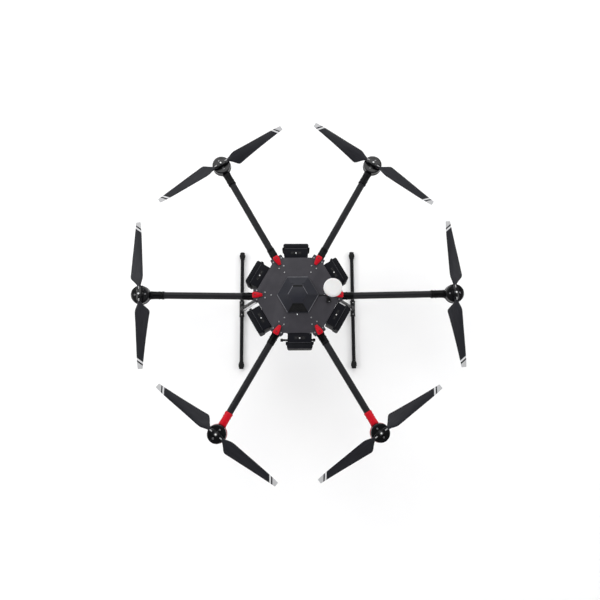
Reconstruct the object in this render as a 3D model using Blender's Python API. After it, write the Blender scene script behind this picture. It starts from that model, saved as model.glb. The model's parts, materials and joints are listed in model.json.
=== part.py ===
"""Folding six-rotor heavy-lift drone, standing on its landing gear.

Metres, +Z up.  The nose faces -Y and the drone's own left side is +X.
The origin is the centre of the payload plate's underside.
"""
import math

import bmesh
import bpy
from mathutils import Matrix, Vector

# ---------------------------------------------------------------- driving dimensions
GAP = 0.0003                   # clearance between touching pieces
MOTOR_CIRCLE = 0.5665          # hub centre to motor axis
GROUND = -0.352                # height of the surface it stands on
ARM_AXIS = 0.134               # height of the arm tubes' axis

PLATE_THICK = 0.003
PLATE_FLATS = 0.139            # upper plate: centre to edge between the arms
UPPER_PLATE = 0.160            # underside of the upper plate
LOWER_PLATE = 0.046            # underside of the lower plate
EAR_REACH = 0.162              # upper plate: centre to the end of an arm's ear
EAR_HALF = 0.0235

RING_FLATS = 0.1385            # centre frame: centre to outer wall between the arms
RING_CORNER = 0.132            # centre frame: centre to outer wall at the arms
RING_WALL = 0.004
DECK_TOP = UPPER_PLATE + PLATE_THICK + GAP      # where pieces stand on the upper plate
BASE_TOP = LOWER_PLATE + PLATE_THICK + GAP      # where pieces stand on the lower plate
CLEVIS_INNER = 0.0163          # half the space between an arm clevis's cheeks
CLEVIS_OUTER = 0.0205
CLEVIS_REACH = 0.1605
SHELF_REACH = 0.178            # hub centre to the outer edge of a battery shelf
SHELF_THICK = 0.0036

ARM_PIVOT = 0.150              # hub centre to an arm's fold axis
BARREL_RADIUS = 0.015
BARREL_HALF = 0.0155
PIN_RADIUS = 0.004
TUBE_RADIUS = 0.0125
TUBE_BORE = 0.0110
SLEEVE_RADIUS = 0.0150
SLEEVE_LENGTH = 0.055          # along the tube, from the fold axis
TUBE_START = 0.040
ARM_RISE = math.radians(5.0)   # the tubes slope up to their motors
ARM_SPAN = MOTOR_CIRCLE - ARM_PIVOT
MOTOR_RISE = ARM_SPAN * math.tan(ARM_RISE)      # a tube's climb from its pivot to its motor

LOCK_PIVOT = 0.155             # hub centre to an arm lock's turning axis
LOCK_HEIGHT = 0.0098
STUD_RADIUS = 0.0028
STUD_TOP = UPPER_PLATE + 0.0105

CUP_RADIUS = 0.0345            # motor mount; heights are above the tube's axis at the motor
CUP_BOTTOM = -0.0160
CUP_TOP = -0.0035
SOCKET_START = -0.0830
TUBE_STOP = -0.0380
STATOR_RADIUS = 0.0250
STATOR_TOP = 0.0103
BELL_RADIUS = 0.0335           # motor
BELL_WALL = 0.0042
BELL_BOTTOM = -0.0025
BELL_TOP = 0.0150
SHAFT_RADIUS = 0.0040
SHAFT_END = -0.0100
PROP_PLANE = 0.194             # height of the blades' mid-plane
BLADE_PIVOT = 0.020            # motor axis to a blade's fold axis
ROOT_THICK = 0.0074
CLAMP_HALF = 0.0080            # propeller clamp: half the width of its two bars
CLAMP_LOW_THICK = 0.0027
CLAMP_HIGH_THICK = 0.0030
NUT_RADIUS = 0.0050
BOLT_RADIUS = 0.0020
NUT_TOP = 0.0095               # above the underside of the clamp's upper bar

BATTERY_OFFSET = 0.006         # batteries sit this far counter-clockwise of mid-bay
BATTERY_INNER = 0.1395
BATTERY_OUTER = 0.1935
BATTERY_BOTTOM = 0.0533
BATTERY_TOP = 0.1615
BUTTON_RADIUS = 0.0040
BUTTON_REACH = 0.157           # hub centre to a battery's power button

COVER_RADIUS = 0.0765          # top cover, across its base corners
COVER_TOP_RADIUS = 0.0400
COVER_HEIGHT = 0.030

GEAR_X = 0.125                 # landing gear fold axis
GEAR_Y = 0.025
GEAR_Z = 0.033
GEAR_BARREL = 0.011
LEG_RADIUS = 0.008
LUG_INNER = 0.1135             # hub centre to the inner and outer ends of a gear lug
LUG_OUTER = 0.1360
LUG_NEAR = 0.0090              # gear barrel's middle to the near and far faces of a lug
LUG_FAR = 0.0135
LEAD_RADIUS = 0.0028           # antenna lead clipped along the leg
LEAD_OFFSET = 0.0085
SKID_X = 0.250
SKID_RADIUS = 0.008
FOOT_RADIUS = 0.013
SKID_FRONT = -0.243
SKID_REAR = 0.287

MAST_X = 0.112
MAST_Y = -0.019
MAST_PIVOT = 0.183
MAST_TOP = 0.391
PUCK_RADIUS = 0.0303
PUCK_TOP = 0.407

PAYLOAD_HALF = 0.080           # payload plate, half its side
PAYLOAD_THICK = 0.004
RAIL_X = 0.034                 # accessory rails
RAIL_Z = 0.014
RAIL_END = 0.1505              # hub centre to the bars that join the rails
RAIL_RADIUS = 0.0052
RAIL_OVERHANG = 0.0063         # past the bars
BAR_HALF = 0.067
BAR_RADIUS = 0.0040
KNOB_RADIUS = 0.0060
KNOB_LENGTH = 0.0095
POST_Y = 0.060
POST_RADIUS = 0.0055
DAMPER_RADIUS = 0.0090
DAMPER_LOW = 0.022
DAMPER_HIGH = 0.040
CLAMP_X = 0.009                # rail clamp under each post, half its length and width
CLAMP_Y = 0.010
CLAMP_TOP = 0.0215

# name, arm angle, motor spin (+1 counter-clockwise from above), propeller angle at rest
ARMS = (
    ("left", 0, 1, 93.2),
    ("rear_left", 60, -1, 144.2),
    ("rear_right", 120, 1, 32.5),
    ("right", 180, -1, 93.1),
    ("front_right", 240, 1, 141.0),
    ("front_left", 300, -1, 36.5),
)
BATTERIES = (
    ("left_rear", 30),
    ("rear", 90),
    ("right_rear", 150),
    ("right_front", 210),
    ("front", 270),
    ("left_front", 330),
)

CARBON = ("carbon", (0.035, 0.035, 0.040), 0.42, 0.0)
PLATE_GREY = ("plate_grey", (0.055, 0.055, 0.062), 0.62, 0.0)
BLACK = ("black_plastic", (0.012, 0.012, 0.014), 0.50, 0.0)
COVER_GREY = ("cover_grey", (0.030, 0.033, 0.040), 0.45, 0.0)
GLOSS = ("motor_black", (0.008, 0.008, 0.009), 0.18, 0.3)
RED = ("red_anodised", (0.620, 0.010, 0.020), 0.35, 0.2)
WHITE = ("white_plastic", (0.860, 0.860, 0.850), 0.40, 0.0)
BLADE_GREY = ("blade_composite", (0.026, 0.026, 0.030), 0.48, 0.0)
BOARD = ("circuit_board", (0.010, 0.090, 0.030), 0.45, 0.0)


# ---------------------------------------------------------------- modelling helpers
def clear_scene():
    """Remove every object that the scene holds."""
    for item in list(bpy.data.objects):
        bpy.data.objects.remove(item)


def material(finish):
    """Return the Principled material of a finish, making it once."""
    name, colour, roughness, metallic = finish
    found = bpy.data.materials.get(name)
    if found:
        return found
    made = bpy.data.materials.new(name)
    made.use_nodes = True
    shader = made.node_tree.nodes["Principled BSDF"]
    shader.inputs["Base Color"].default_value = (*colour, 1.0)
    shader.inputs["Roughness"].default_value = roughness
    shader.inputs["Metallic"].default_value = metallic
    made.diffuse_color = (*colour, 1.0)
    return made


def shape(bm, name="shape"):
    """Link a bmesh as an object, with its normals facing out."""
    bmesh.ops.recalc_face_normals(bm, faces=bm.faces)
    mesh = bpy.data.meshes.new(name)
    bm.to_mesh(mesh)
    bm.free()
    item = bpy.data.objects.new(name, mesh)
    bpy.context.scene.collection.objects.link(item)
    return item


def box(low, high, turn=0.0):
    """Box between two corners, turned about Z by an angle in degrees."""
    low = Vector(low)
    high = Vector(high)
    bm = bmesh.new()
    place = Matrix.Translation((low + high) / 2) @ Matrix.Diagonal((*(high - low), 1.0))
    bmesh.ops.create_cube(bm, size=1.0, matrix=Matrix.Rotation(math.radians(turn), 4, "Z") @ place)
    return shape(bm)


def prism(outline, low, high):
    """Straight prism on a flat outline between two heights."""
    bm = bmesh.new()
    floor = bm.faces.new([bm.verts.new((x, y, low)) for x, y in outline])
    grown = bmesh.ops.extrude_face_region(bm, geom=[floor])
    raised = [item for item in grown["geom"] if isinstance(item, bmesh.types.BMVert)]
    bmesh.ops.translate(bm, verts=raised, vec=(0, 0, high - low))
    return shape(bm)


def rod(start, end, radius, sides=16, end_radius=None):
    """Round bar from one point to another, tapered if it has an end radius."""
    start = Vector(start)
    run = Vector(end) - start
    turn = run.to_track_quat("Z", "Y").to_matrix().to_4x4()
    place = Matrix.Translation(start + run / 2) @ turn
    bm = bmesh.new()
    bmesh.ops.create_cone(bm, cap_ends=True, segments=sides, radius1=radius,
                          radius2=radius if end_radius is None else end_radius,
                          depth=run.length, matrix=place)
    return shape(bm)


def turned(profile, sides, axis=(0, 0, 1), centre=(0, 0, 0)):
    """Body of revolution from (radius, height) points that begin and end on the axis."""
    bm = bmesh.new()
    verts = [bm.verts.new((radius, 0, height)) for radius, height in profile]
    edges = [bm.edges.new(pair) for pair in zip(verts, verts[1:])]
    bmesh.ops.spin(bm, geom=verts + edges, cent=(0, 0, 0), axis=(0, 0, 1),
                   angle=math.tau, steps=sides, use_merge=True)
    bmesh.ops.remove_doubles(bm, verts=bm.verts, dist=1e-6)
    turn = Vector(axis).to_track_quat("Z", "Y").to_matrix().to_4x4()
    bmesh.ops.transform(bm, matrix=Matrix.Translation(centre) @ turn, verts=bm.verts)
    return shape(bm)


def combine(base, tools, operation):
    """Apply one exact Boolean for each tool to the base, and drop the tools."""
    for tool in tools:
        modifier = base.modifiers.new("combine", "BOOLEAN")
        modifier.operation = operation
        modifier.solver = "EXACT"
        modifier.object = tool
    graph = bpy.context.evaluated_depsgraph_get()
    mesh = bpy.data.meshes.new_from_object(base.evaluated_get(graph))
    base.modifiers.clear()
    base.data = mesh
    for tool in tools:
        bpy.data.objects.remove(tool)
    return base


def fuse(base, *tools):
    return combine(base, tools, "UNION")


def cut(base, *tools):
    return combine(base, tools, "DIFFERENCE")


def part(item, name, finish, smooth=False):
    """Name a finished piece and give it its material."""
    item.name = name
    item.data.name = name
    item.data.materials.clear()
    item.data.materials.append(material(finish))
    if smooth:
        item.data.shade_smooth()
        item.data.set_sharp_from_angle(angle=math.radians(35))
    return item


def copy_of(item, name, finish):
    """Another object on the same mesh."""
    made = bpy.data.objects.new(name, item.data.copy())
    made.data.name = name
    made.data.materials.clear()
    made.data.materials.append(material(finish))
    bpy.context.scene.collection.objects.link(made)
    return made


def place(item, location, turn=0.0, parent=None):
    """Set an item under its parent, turned about Z by an angle in degrees."""
    item.location = location
    item.rotation_euler = (0, 0, math.radians(turn))
    item.parent = parent
    return item


def sloped(item):
    """Turn a mesh about local Y, so that its local X rises as the arm tubes do."""
    item.data.transform(Matrix.Rotation(-ARM_RISE, 4, "Y"))
    return item


def polar(radius, angle, height=0.0):
    angle = math.radians(angle)
    return Vector((radius * math.cos(angle), radius * math.sin(angle), height))


def around(corner_points, steps=6):
    """Repeat the points near one corner around the hub."""
    outline = []
    for step in range(steps):
        turn = Matrix.Rotation(math.tau * step / steps, 2)
        outline += [turn @ Vector(point) for point in corner_points]
    return outline


def clipped_hexagon(flats, corner):
    """Hexagon with its corners cut off square to the arms."""
    half = (flats - corner * math.cos(math.pi / 6)) / math.sin(math.pi / 6)
    return around([(corner, -half), (corner, half)])


# ---------------------------------------------------------------- centre body
def upper_plate():
    """Hexagonal deck with an ear over each arm root and a stud under each arm lock."""
    neck = (PLATE_FLATS - EAR_HALF / 2) / math.cos(math.pi / 6)
    chamfer = 0.004
    corner = [(neck, -EAR_HALF), (EAR_REACH - chamfer, -EAR_HALF),
              (EAR_REACH, -EAR_HALF + chamfer), (EAR_REACH, EAR_HALF - chamfer),
              (EAR_REACH - chamfer, EAR_HALF), (neck, EAR_HALF)]
    deck = prism(around(corner), UPPER_PLATE, UPPER_PLATE + PLATE_THICK)
    studs = [rod(polar(LOCK_PIVOT, angle, UPPER_PLATE + 0.001),
                 polar(LOCK_PIVOT, angle, STUD_TOP), STUD_RADIUS, 10)
             for _, angle, _, _ in ARMS]
    part(fuse(deck, *studs), "upper_plate", PLATE_GREY)


def lower_plate():
    """Hexagonal bottom plate, notched for the landing gear's lugs."""
    deck = prism(clipped_hexagon(RING_FLATS, RING_CORNER), LOWER_PLATE, LOWER_PLATE + PLATE_THICK)
    notches = []
    for side in (-1, 1):
        reach = sorted((side * 0.106, side * 0.140))
        notches.append(box((reach[0], 0.008, 0.040), (reach[1], 0.042, 0.055)))
    part(cut(deck, *notches), "lower_plate", PLATE_GREY)


def lug(side, y_low, y_high):
    """Lug of the landing gear's hinge, hanging from the frame."""
    reach = sorted((side * LUG_INNER, side * LUG_OUTER))
    return box((reach[0], y_low, GEAR_Z - 0.012), (reach[1], y_high, BASE_TOP + 0.0012))


def centre_frame():
    """Moulded ring between the plates: arm clevises, battery shelves, gear lugs."""
    low = BASE_TOP
    high = UPPER_PLATE - GAP
    ring = prism(clipped_hexagon(RING_FLATS, RING_CORNER), low, high)
    inner = prism(clipped_hexagon(RING_FLATS - RING_WALL, RING_CORNER - RING_WALL),
                  low - 0.01, high + 0.01)
    cut(ring, inner)
    extras = []
    for _, angle, _, _ in ARMS:
        for side in (-1, 1):
            near, far = sorted((side * CLEVIS_INNER, side * CLEVIS_OUTER))
            extras.append(box((RING_CORNER - 0.003, near, ARM_AXIS - 0.017),
                              (CLEVIS_REACH, far, high), angle))
        turn = Matrix.Rotation(math.radians(angle), 3, "Z")
        extras.append(rod(turn @ Vector((ARM_PIVOT, -0.018, ARM_AXIS)),
                          turn @ Vector((ARM_PIVOT, 0.018, ARM_AXIS)), PIN_RADIUS, 10))
    for _, angle in BATTERIES:
        extras.append(box((RING_FLATS - 0.003, -0.028, low),
                          (SHELF_REACH, 0.040, low + SHELF_THICK), angle))
    for side in (-1, 1):
        extras.append(lug(side, GEAR_Y - LUG_FAR, GEAR_Y - LUG_NEAR))
        extras.append(lug(side, GEAR_Y + LUG_NEAR, GEAR_Y + LUG_FAR))
        reach = sorted((side * LUG_INNER, side * (LUG_INNER + 0.015)))
        extras.append(box((reach[0], GEAR_Y - LUG_FAR, low), (reach[1], GEAR_Y + LUG_FAR, low + 0.010)))
        extras.append(rod((side * GEAR_X, GEAR_Y - 0.011, GEAR_Z),
                          (side * GEAR_X, GEAR_Y + 0.011, GEAR_Z), PIN_RADIUS, 10))
    part(fuse(ring, *extras), "centre_frame", BLACK)


def top_cover():
    """Hollow six-sided electronics cover on the deck."""
    low = DECK_TOP
    skirt = 0.006
    levels = ((COVER_RADIUS, 0.0), (COVER_RADIUS, skirt),
              (COVER_TOP_RADIUS, COVER_HEIGHT))

    def shell(inset):
        bm = bmesh.new()
        rings = []
        for index, (radius, height) in enumerate(levels):
            drop = -0.004 if inset and index == 0 else -inset
            height = low + height + (drop if inset else 0.0)
            ring = [bm.verts.new(polar(radius - inset * 1.155, 60 * k, height)) for k in range(6)]
            rings.append(ring)
        for below, above in zip(rings, rings[1:]):
            for k in range(6):
                after = (k + 1) % 6
                bm.faces.new((below[k], below[after], above[after], above[k]))
        bm.faces.new(reversed(rings[0]))
        bm.faces.new(rings[-1])
        return shape(bm)

    part(cut(shell(0.0), shell(0.002)), "top_cover", COVER_GREY)


def flight_controller():
    """Flight controller block on its pad, under the cover."""
    low = DECK_TOP
    block = box((-0.031, -0.022, low), (0.031, 0.022, low + 0.017))
    pad = box((-0.034, -0.025, low), (0.034, 0.025, low + 0.003))
    part(fuse(block, pad), "flight_controller", BLACK)


def power_board():
    """Power distribution board on the lower plate, with its connector block."""
    low = BASE_TOP
    board = box((-0.060, -0.060, low), (0.060, 0.060, low + 0.002))
    block = box((-0.035, -0.020, low + 0.001), (0.035, 0.020, low + 0.014))
    part(fuse(board, block), "power_board", BOARD)


def payload_mount():
    """Payload plate on four damped posts, with two accessory rails joined at their ends."""
    plate = box((-PAYLOAD_HALF, -PAYLOAD_HALF, 0), (PAYLOAD_HALF, PAYLOAD_HALF, PAYLOAD_THICK))
    low = PAYLOAD_THICK - 0.001
    extras = []
    for x in (-RAIL_X, RAIL_X):
        reach = RAIL_END + RAIL_OVERHANG
        extras.append(rod((x, -reach, RAIL_Z), (x, reach, RAIL_Z), RAIL_RADIUS, 10))
        for y in (-POST_Y, POST_Y):
            extras.append(rod((x, y, low), (x, y, LOWER_PLATE - GAP), POST_RADIUS, 8))
            extras.append(rod((x, y, DAMPER_LOW), (x, y, DAMPER_HIGH), DAMPER_RADIUS, 10))
            extras.append(box((x - CLAMP_X, y - CLAMP_Y, low), (x + CLAMP_X, y + CLAMP_Y, CLAMP_TOP)))
    for y in (-RAIL_END, RAIL_END):
        inside = BAR_HALF - 0.001
        extras.append(rod((-inside, y, RAIL_Z), (inside, y, RAIL_Z), BAR_RADIUS, 10))
        for side in (-1, 1):
            extras.append(rod((side * (BAR_HALF - KNOB_LENGTH), y, RAIL_Z),
                              (side * BAR_HALF, y, RAIL_Z), KNOB_RADIUS, 10))
    part(fuse(plate, *extras), "payload_mount", CARBON)


# ---------------------------------------------------------------- arms and motors
def arm_body():
    """Arm tube with its hinge barrel and root sleeve; the fold axis is the origin."""
    end = ARM_SPAN / math.cos(ARM_RISE) + TUBE_STOP
    barrel = rod((0, -BARREL_HALF, 0), (0, BARREL_HALF, 0), BARREL_RADIUS, 14)
    sleeve = rod((0, 0, 0), (SLEEVE_LENGTH, 0, 0), SLEEVE_RADIUS, 14)
    tube = rod((TUBE_START, 0, 0), (end, 0, 0), TUBE_RADIUS, 14)
    pin_hole = rod((0, -0.03, 0), (0, 0.03, 0), PIN_RADIUS + 0.0005, 10)
    bore = rod((TUBE_START - 0.010, 0, 0), (end + 0.010, 0, 0), TUBE_BORE, 10)
    return sloped(cut(fuse(barrel, sleeve, tube), pin_hole, bore))


def mount_body():
    """Motor mount with its stator; the origin is where the motor axis meets the tube's axis."""
    cup = rod((0, 0, CUP_BOTTOM), (0, 0, CUP_TOP), CUP_RADIUS, 20)
    socket = sloped(rod((SOCKET_START, 0, 0), (-0.020, 0, 0), SLEEVE_RADIUS, 14))
    bell_room = rod((0, 0, CUP_TOP), (0, 0, 0.05), BELL_RADIUS + 0.0010, 20)
    body = cut(fuse(cup, socket), bell_room)
    stator = rod((0, 0, CUP_TOP - 0.001), (0, 0, STATOR_TOP), STATOR_RADIUS, 14)
    tube_hole = sloped(rod((SOCKET_START - 0.01, 0, 0), (TUBE_STOP + 0.0005, 0, 0),
                           TUBE_RADIUS + 0.0004, 14))
    shaft_hole = rod((0, 0, SHAFT_END - 0.001), (0, 0, 0.05), SHAFT_RADIUS + 0.0006, 8)
    return cut(fuse(body, stator), tube_hole, shaft_hole)


def bar_outline(half_length, half_width, steps=3):
    """Bar with round ends along X."""
    points = []
    for side in (1, -1):
        for step in range(steps + 1):
            angle = -math.pi / 2 + math.pi * step / steps
            points.append((side * (half_length - half_width + half_width * math.cos(angle)),
                           side * half_width * math.sin(angle)))
    return points


def rotor_body():
    """Motor bell, shaft and propeller clamp; the propeller line is local X."""
    plane = PROP_PLANE - ARM_AXIS - MOTOR_RISE
    inner = BELL_RADIUS - BELL_WALL
    ceiling = BELL_TOP - 0.0035
    bell = turned([(0, BELL_TOP), (BELL_RADIUS - 0.0020, BELL_TOP), (BELL_RADIUS, BELL_TOP - 0.0020),
                   (BELL_RADIUS, BELL_BOTTOM), (inner, BELL_BOTTOM), (inner, ceiling),
                   (SHAFT_RADIUS, ceiling), (SHAFT_RADIUS, SHAFT_END), (0, SHAFT_END)], 20)
    half = BLADE_PIVOT + CLAMP_HALF
    low = plane - ROOT_THICK / 2 - GAP
    high = plane + ROOT_THICK / 2 + GAP
    post = rod((0, 0, BELL_TOP - 0.001), (0, 0, low - 0.0015), 0.0080, 8)
    low_bar = prism(bar_outline(half, CLAMP_HALF), low - CLAMP_LOW_THICK, low)
    high_bar = prism(bar_outline(half, CLAMP_HALF), high, high + CLAMP_HIGH_THICK)
    spacer = rod((0, 0, low - 0.001), (0, 0, high + 0.002), 0.0060, 8)
    nut = rod((0, 0, high + 0.002), (0, 0, high + NUT_TOP), NUT_RADIUS, 6)
    bolts = [rod((x, 0, low - 0.001), (x, 0, high + 0.0050), BOLT_RADIUS, 6)
             for x in (-BLADE_PIVOT, BLADE_PIVOT)]
    return fuse(bell, post, low_bar, high_bar, spacer, nut, *bolts)


# distance from the motor axis, width ahead of and behind the axis, pitch in degrees, thickness
BLADE_STATIONS = (
    (0.0262, 0.0060, 0.0064, 3, 0.0066),
    (0.0470, 0.0110, 0.0210, 17, 0.0052),
    (0.0600, 0.0148, 0.0325, 19, 0.0045),
    (0.0720, 0.0155, 0.0325, 18, 0.0042),
    (0.1300, 0.0140, 0.0245, 12, 0.0034),
    (0.2000, 0.0125, 0.0155, 8, 0.0026),
    (0.2500, 0.0105, 0.0100, 6, 0.0019),
    (0.2665, 0.0075, 0.0075, 6, 0.0013),
)


def blade_section(station, hand):
    """Closed aerofoil outline at one station, with the leading edge on hand's side."""
    reach, lead, trail, pitch, thick = station
    chord = lead + trail
    slope = math.tan(math.radians(pitch))
    outline = ((lead, 0.0), (lead - 0.12 * chord, 0.42), (lead - 0.40 * chord, 0.50),
               (-trail, 0.16), (-trail, -0.12), (lead - 0.45 * chord, -0.36), (lead - 0.12 * chord, -0.42))
    return [Vector((reach - BLADE_PIVOT, hand * across, across * slope + lift * thick))
            for across, lift in outline]


def blade_body(hand):
    """Folding blade along local X; the fold axis is the origin."""
    bm = bmesh.new()
    loops = []
    for station in BLADE_STATIONS:
        verts = [bm.verts.new(point) for point in blade_section(station, hand)]
        loops.append([bm.edges.new((verts[k - 1], verts[k])) for k in range(len(verts))])
    for near, far in zip(loops, loops[1:]):
        bmesh.ops.bridge_loops(bm, edges=near + far)
    for loop in (loops[0], loops[-1]):
        bmesh.ops.contextual_create(bm, geom=loop)
    blade = shape(bm)
    half = ROOT_THICK / 2
    eye = rod((0, 0, -half), (0, 0, half), CLAMP_HALF, 12)
    hole = rod((0, 0, -0.01), (0, 0, 0.01), BOLT_RADIUS + 0.0006, 8)
    return cut(fuse(blade, eye), hole)


def lock_body():
    """Arm lock lever pointing to the hub; its turning axis is the origin."""
    points = [(-0.0265, -0.0045), (-0.0240, -0.0060), (-0.0120, -0.0090), (0.0000, -0.0112),
              (0.0070, -0.0112), (0.0100, -0.0080), (0.0100, 0.0080), (0.0070, 0.0112),
              (0.0000, 0.0112), (-0.0120, 0.0090), (-0.0240, 0.0060), (-0.0265, 0.0045)]
    lever = prism(points, 0.0, LOCK_HEIGHT)
    hole = rod((0, 0, -0.01), (0, 0, 0.02), STUD_RADIUS + 0.0005, 12)
    return cut(lever, hole)


def arm_sets():
    """Place each arm with its motor mount, rotor, blades and lock."""
    arm_mesh = arm_body()
    mount_mesh = mount_body()
    rotor_mesh = rotor_body()
    blade_meshes = {hand: blade_body(hand) for hand in (-1, 1)}
    lock_mesh = lock_body()
    for name, angle, spin, prop_angle in ARMS:
        front = name.startswith("front")
        arm = copy_of(arm_mesh, "arm_" + name, CARBON)
        place(arm, polar(ARM_PIVOT, angle, ARM_AXIS), angle)
        mount = copy_of(mount_mesh, "motor_mount_" + name, RED if front else BLACK)
        place(mount, (ARM_SPAN, 0, MOTOR_RISE), 0, arm)
        rotor = copy_of(rotor_mesh, "rotor_" + name, GLOSS)
        place(rotor, (0, 0, 0), prop_angle - angle, mount)
        for end, side in (("a", 1), ("b", -1)):
            blade = copy_of(blade_meshes[spin], "blade_" + name + "_" + end, BLADE_GREY)
            height = PROP_PLANE - ARM_AXIS - MOTOR_RISE
            place(blade, (side * BLADE_PIVOT, 0, height), 0 if side > 0 else 180, rotor)
        lock = copy_of(lock_mesh, "arm_lock_" + name, RED)
        place(lock, polar(LOCK_PIVOT, angle, DECK_TOP), angle)
    for item in (arm_mesh, mount_mesh, rotor_mesh, lock_mesh, *blade_meshes.values()):
        bpy.data.objects.remove(item)


# ---------------------------------------------------------------- batteries
def chamfered(low, high, width, chamfer):
    """Rectangle in plan from one reach to another, with its outer corners cut."""
    return [(low, -width), (high - chamfer, -width), (high, -width + chamfer),
            (high, width - chamfer), (high - chamfer, width), (low, width)]


def battery_body():
    """Battery standing in its bay, local X away from the hub; its button pocket is open."""
    inner = prism(chamfered(BATTERY_INNER, 0.1740, 0.0435, 0.001), BATTERY_BOTTOM, BATTERY_TOP)
    outer = prism(chamfered(0.1720, BATTERY_OUTER, 0.0465, 0.007), BATTERY_BOTTOM, BATTERY_TOP - 0.0040)
    clips = prism(chamfered(0.1700, 0.1790, 0.0505, 0.003), 0.1000, BATTERY_TOP - 0.0055)
    pocket = rod((BUTTON_REACH, 0, BATTERY_TOP - 0.0024), (BUTTON_REACH, 0, BATTERY_TOP + 0.01),
                 BUTTON_RADIUS + 0.0005, 12)
    return cut(fuse(inner, outer, clips), pocket)


def battery_sets():
    """Place the six batteries and their power buttons."""
    battery_mesh = battery_body()
    button_mesh = rod((0, 0, 0), (0, 0, 0.0020), BUTTON_RADIUS, 12)
    for name, angle in BATTERIES:
        offset = polar(BATTERY_OFFSET, angle + 90)
        battery = copy_of(battery_mesh, "battery_" + name, BLACK)
        place(battery, offset, angle)
        button = copy_of(button_mesh, "power_button_" + name, WHITE)
        place(button, (BUTTON_REACH, 0, BATTERY_TOP - 0.0014), 0, battery)
    for item in (battery_mesh, button_mesh):
        bpy.data.objects.remove(item)


# ---------------------------------------------------------------- landing gear
def gear_leg(side, name):
    """Leg, tee and skid on one side; the fold axis is the origin."""
    drop = GROUND + FOOT_RADIUS - GEAR_Z
    spread = side * (SKID_X - GEAR_X)
    foot = Vector((spread, 0, drop))
    along = foot.normalized()
    front = SKID_FRONT - GEAR_Y
    rear = SKID_REAR - GEAR_Y
    barrel = rod((0, -0.0085, 0), (0, 0.0085, 0), GEAR_BARREL, 14)
    leg = rod((0, 0, 0), foot, LEG_RADIUS, 12)
    collar = rod(along * 0.018, along * 0.045, 0.0100, 12)
    socket = rod(foot - along * 0.055, foot, 0.0105, 12)
    tee = rod((spread, -0.036, drop), (spread, 0.036, drop), 0.0108, 12)
    skid = rod((spread, front + 0.010, drop), (spread, rear - 0.010, drop), SKID_RADIUS, 12)
    beside = Vector((0, -LEAD_OFFSET, 0))
    lead = rod(along * 0.030 + beside, foot - along * 0.050 + beside, LEAD_RADIUS, 6)
    profile = [(0, 0), (0.0085, 0), (0.0100, 0.004), (0.0100, 0.008), (FOOT_RADIUS, 0.012),
               (FOOT_RADIUS, 0.020), (0.0095, 0.032), (0, 0.032)]
    feet = [turned(profile, 16, (0, 1, 0), (spread, front, drop)),
            turned(profile, 16, (0, -1, 0), (spread, rear, drop))]
    body = fuse(barrel, leg, collar, socket, tee, skid, lead, *feet)
    cut(body, rod((0, -0.02, 0), (0, 0.02, 0), PIN_RADIUS + 0.0005, 12))
    part(body, name, BLACK)
    place(body, (side * GEAR_X, GEAR_Y, GEAR_Z))


# ---------------------------------------------------------------- satellite receiver
def gps_base():
    """Mast clamp on the deck, with its pin and the cable boot from the cover."""
    low = DECK_TOP
    foot = box((MAST_X - 0.009, MAST_Y - 0.010, low), (MAST_X + 0.009, MAST_Y + 0.010, low + 0.005))
    ears = []
    for side in (-1, 1):
        near, far = sorted((MAST_Y + side * 0.0053, MAST_Y + side * 0.0085))
        ears.append(box((MAST_X - 0.0065, near, low + 0.004), (MAST_X + 0.0065, far, MAST_PIVOT + 0.006)))
    pin = rod((MAST_X, MAST_Y - 0.007, MAST_PIVOT), (MAST_X, MAST_Y + 0.007, MAST_PIVOT), 0.0018, 8)
    boot = box((0.0775, -0.0045, low), (MAST_X - 0.004, 0.0005, low + 0.004))
    link = box((MAST_X - 0.009, MAST_Y + 0.009, low), (MAST_X - 0.004, 0.0005, low + 0.004))
    part(fuse(foot, *ears, pin, boot, link), "gps_base", BLACK)


def gps_mast():
    """Folding mast; the fold axis is the origin."""
    knuckle = rod((0, -0.0049, 0), (0, 0.0049, 0), 0.0052, 14)
    tube = rod((0, 0, 0), (0, 0, MAST_TOP - MAST_PIVOT), 0.0040, 12)
    head = rod((0, 0, MAST_TOP - MAST_PIVOT - 0.014), (0, 0, MAST_TOP - MAST_PIVOT), 0.0070, 12)
    hole = rod((0, -0.01, 0), (0, 0.01, 0), 0.0022, 10)
    mast = part(cut(fuse(knuckle, tube, head), hole), "gps_mast", CARBON)
    place(mast, (MAST_X, MAST_Y, MAST_PIVOT))
    low = MAST_TOP - MAST_PIVOT + GAP
    high = PUCK_TOP - MAST_PIVOT
    puck = turned([(0, high), (PUCK_RADIUS - 0.006, high), (PUCK_RADIUS - 0.0012, high - 0.0022),
                   (PUCK_RADIUS, high - 0.006), (PUCK_RADIUS, low + 0.004),
                   (PUCK_RADIUS - 0.004, low), (0, low)], 28)
    part(puck, "gps_module", WHITE, smooth=True)
    place(puck, (0, 0, 0), 0, mast)


def main():
    clear_scene()
    upper_plate()
    lower_plate()
    centre_frame()
    top_cover()
    flight_controller()
    power_board()
    payload_mount()
    arm_sets()
    battery_sets()
    gear_leg(1, "landing_gear_left")
    gear_leg(-1, "landing_gear_right")
    gps_base()
    gps_mast()


main()
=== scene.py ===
import json
import math

import bmesh
import bpy
from mathutils import Matrix, Vector


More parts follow.
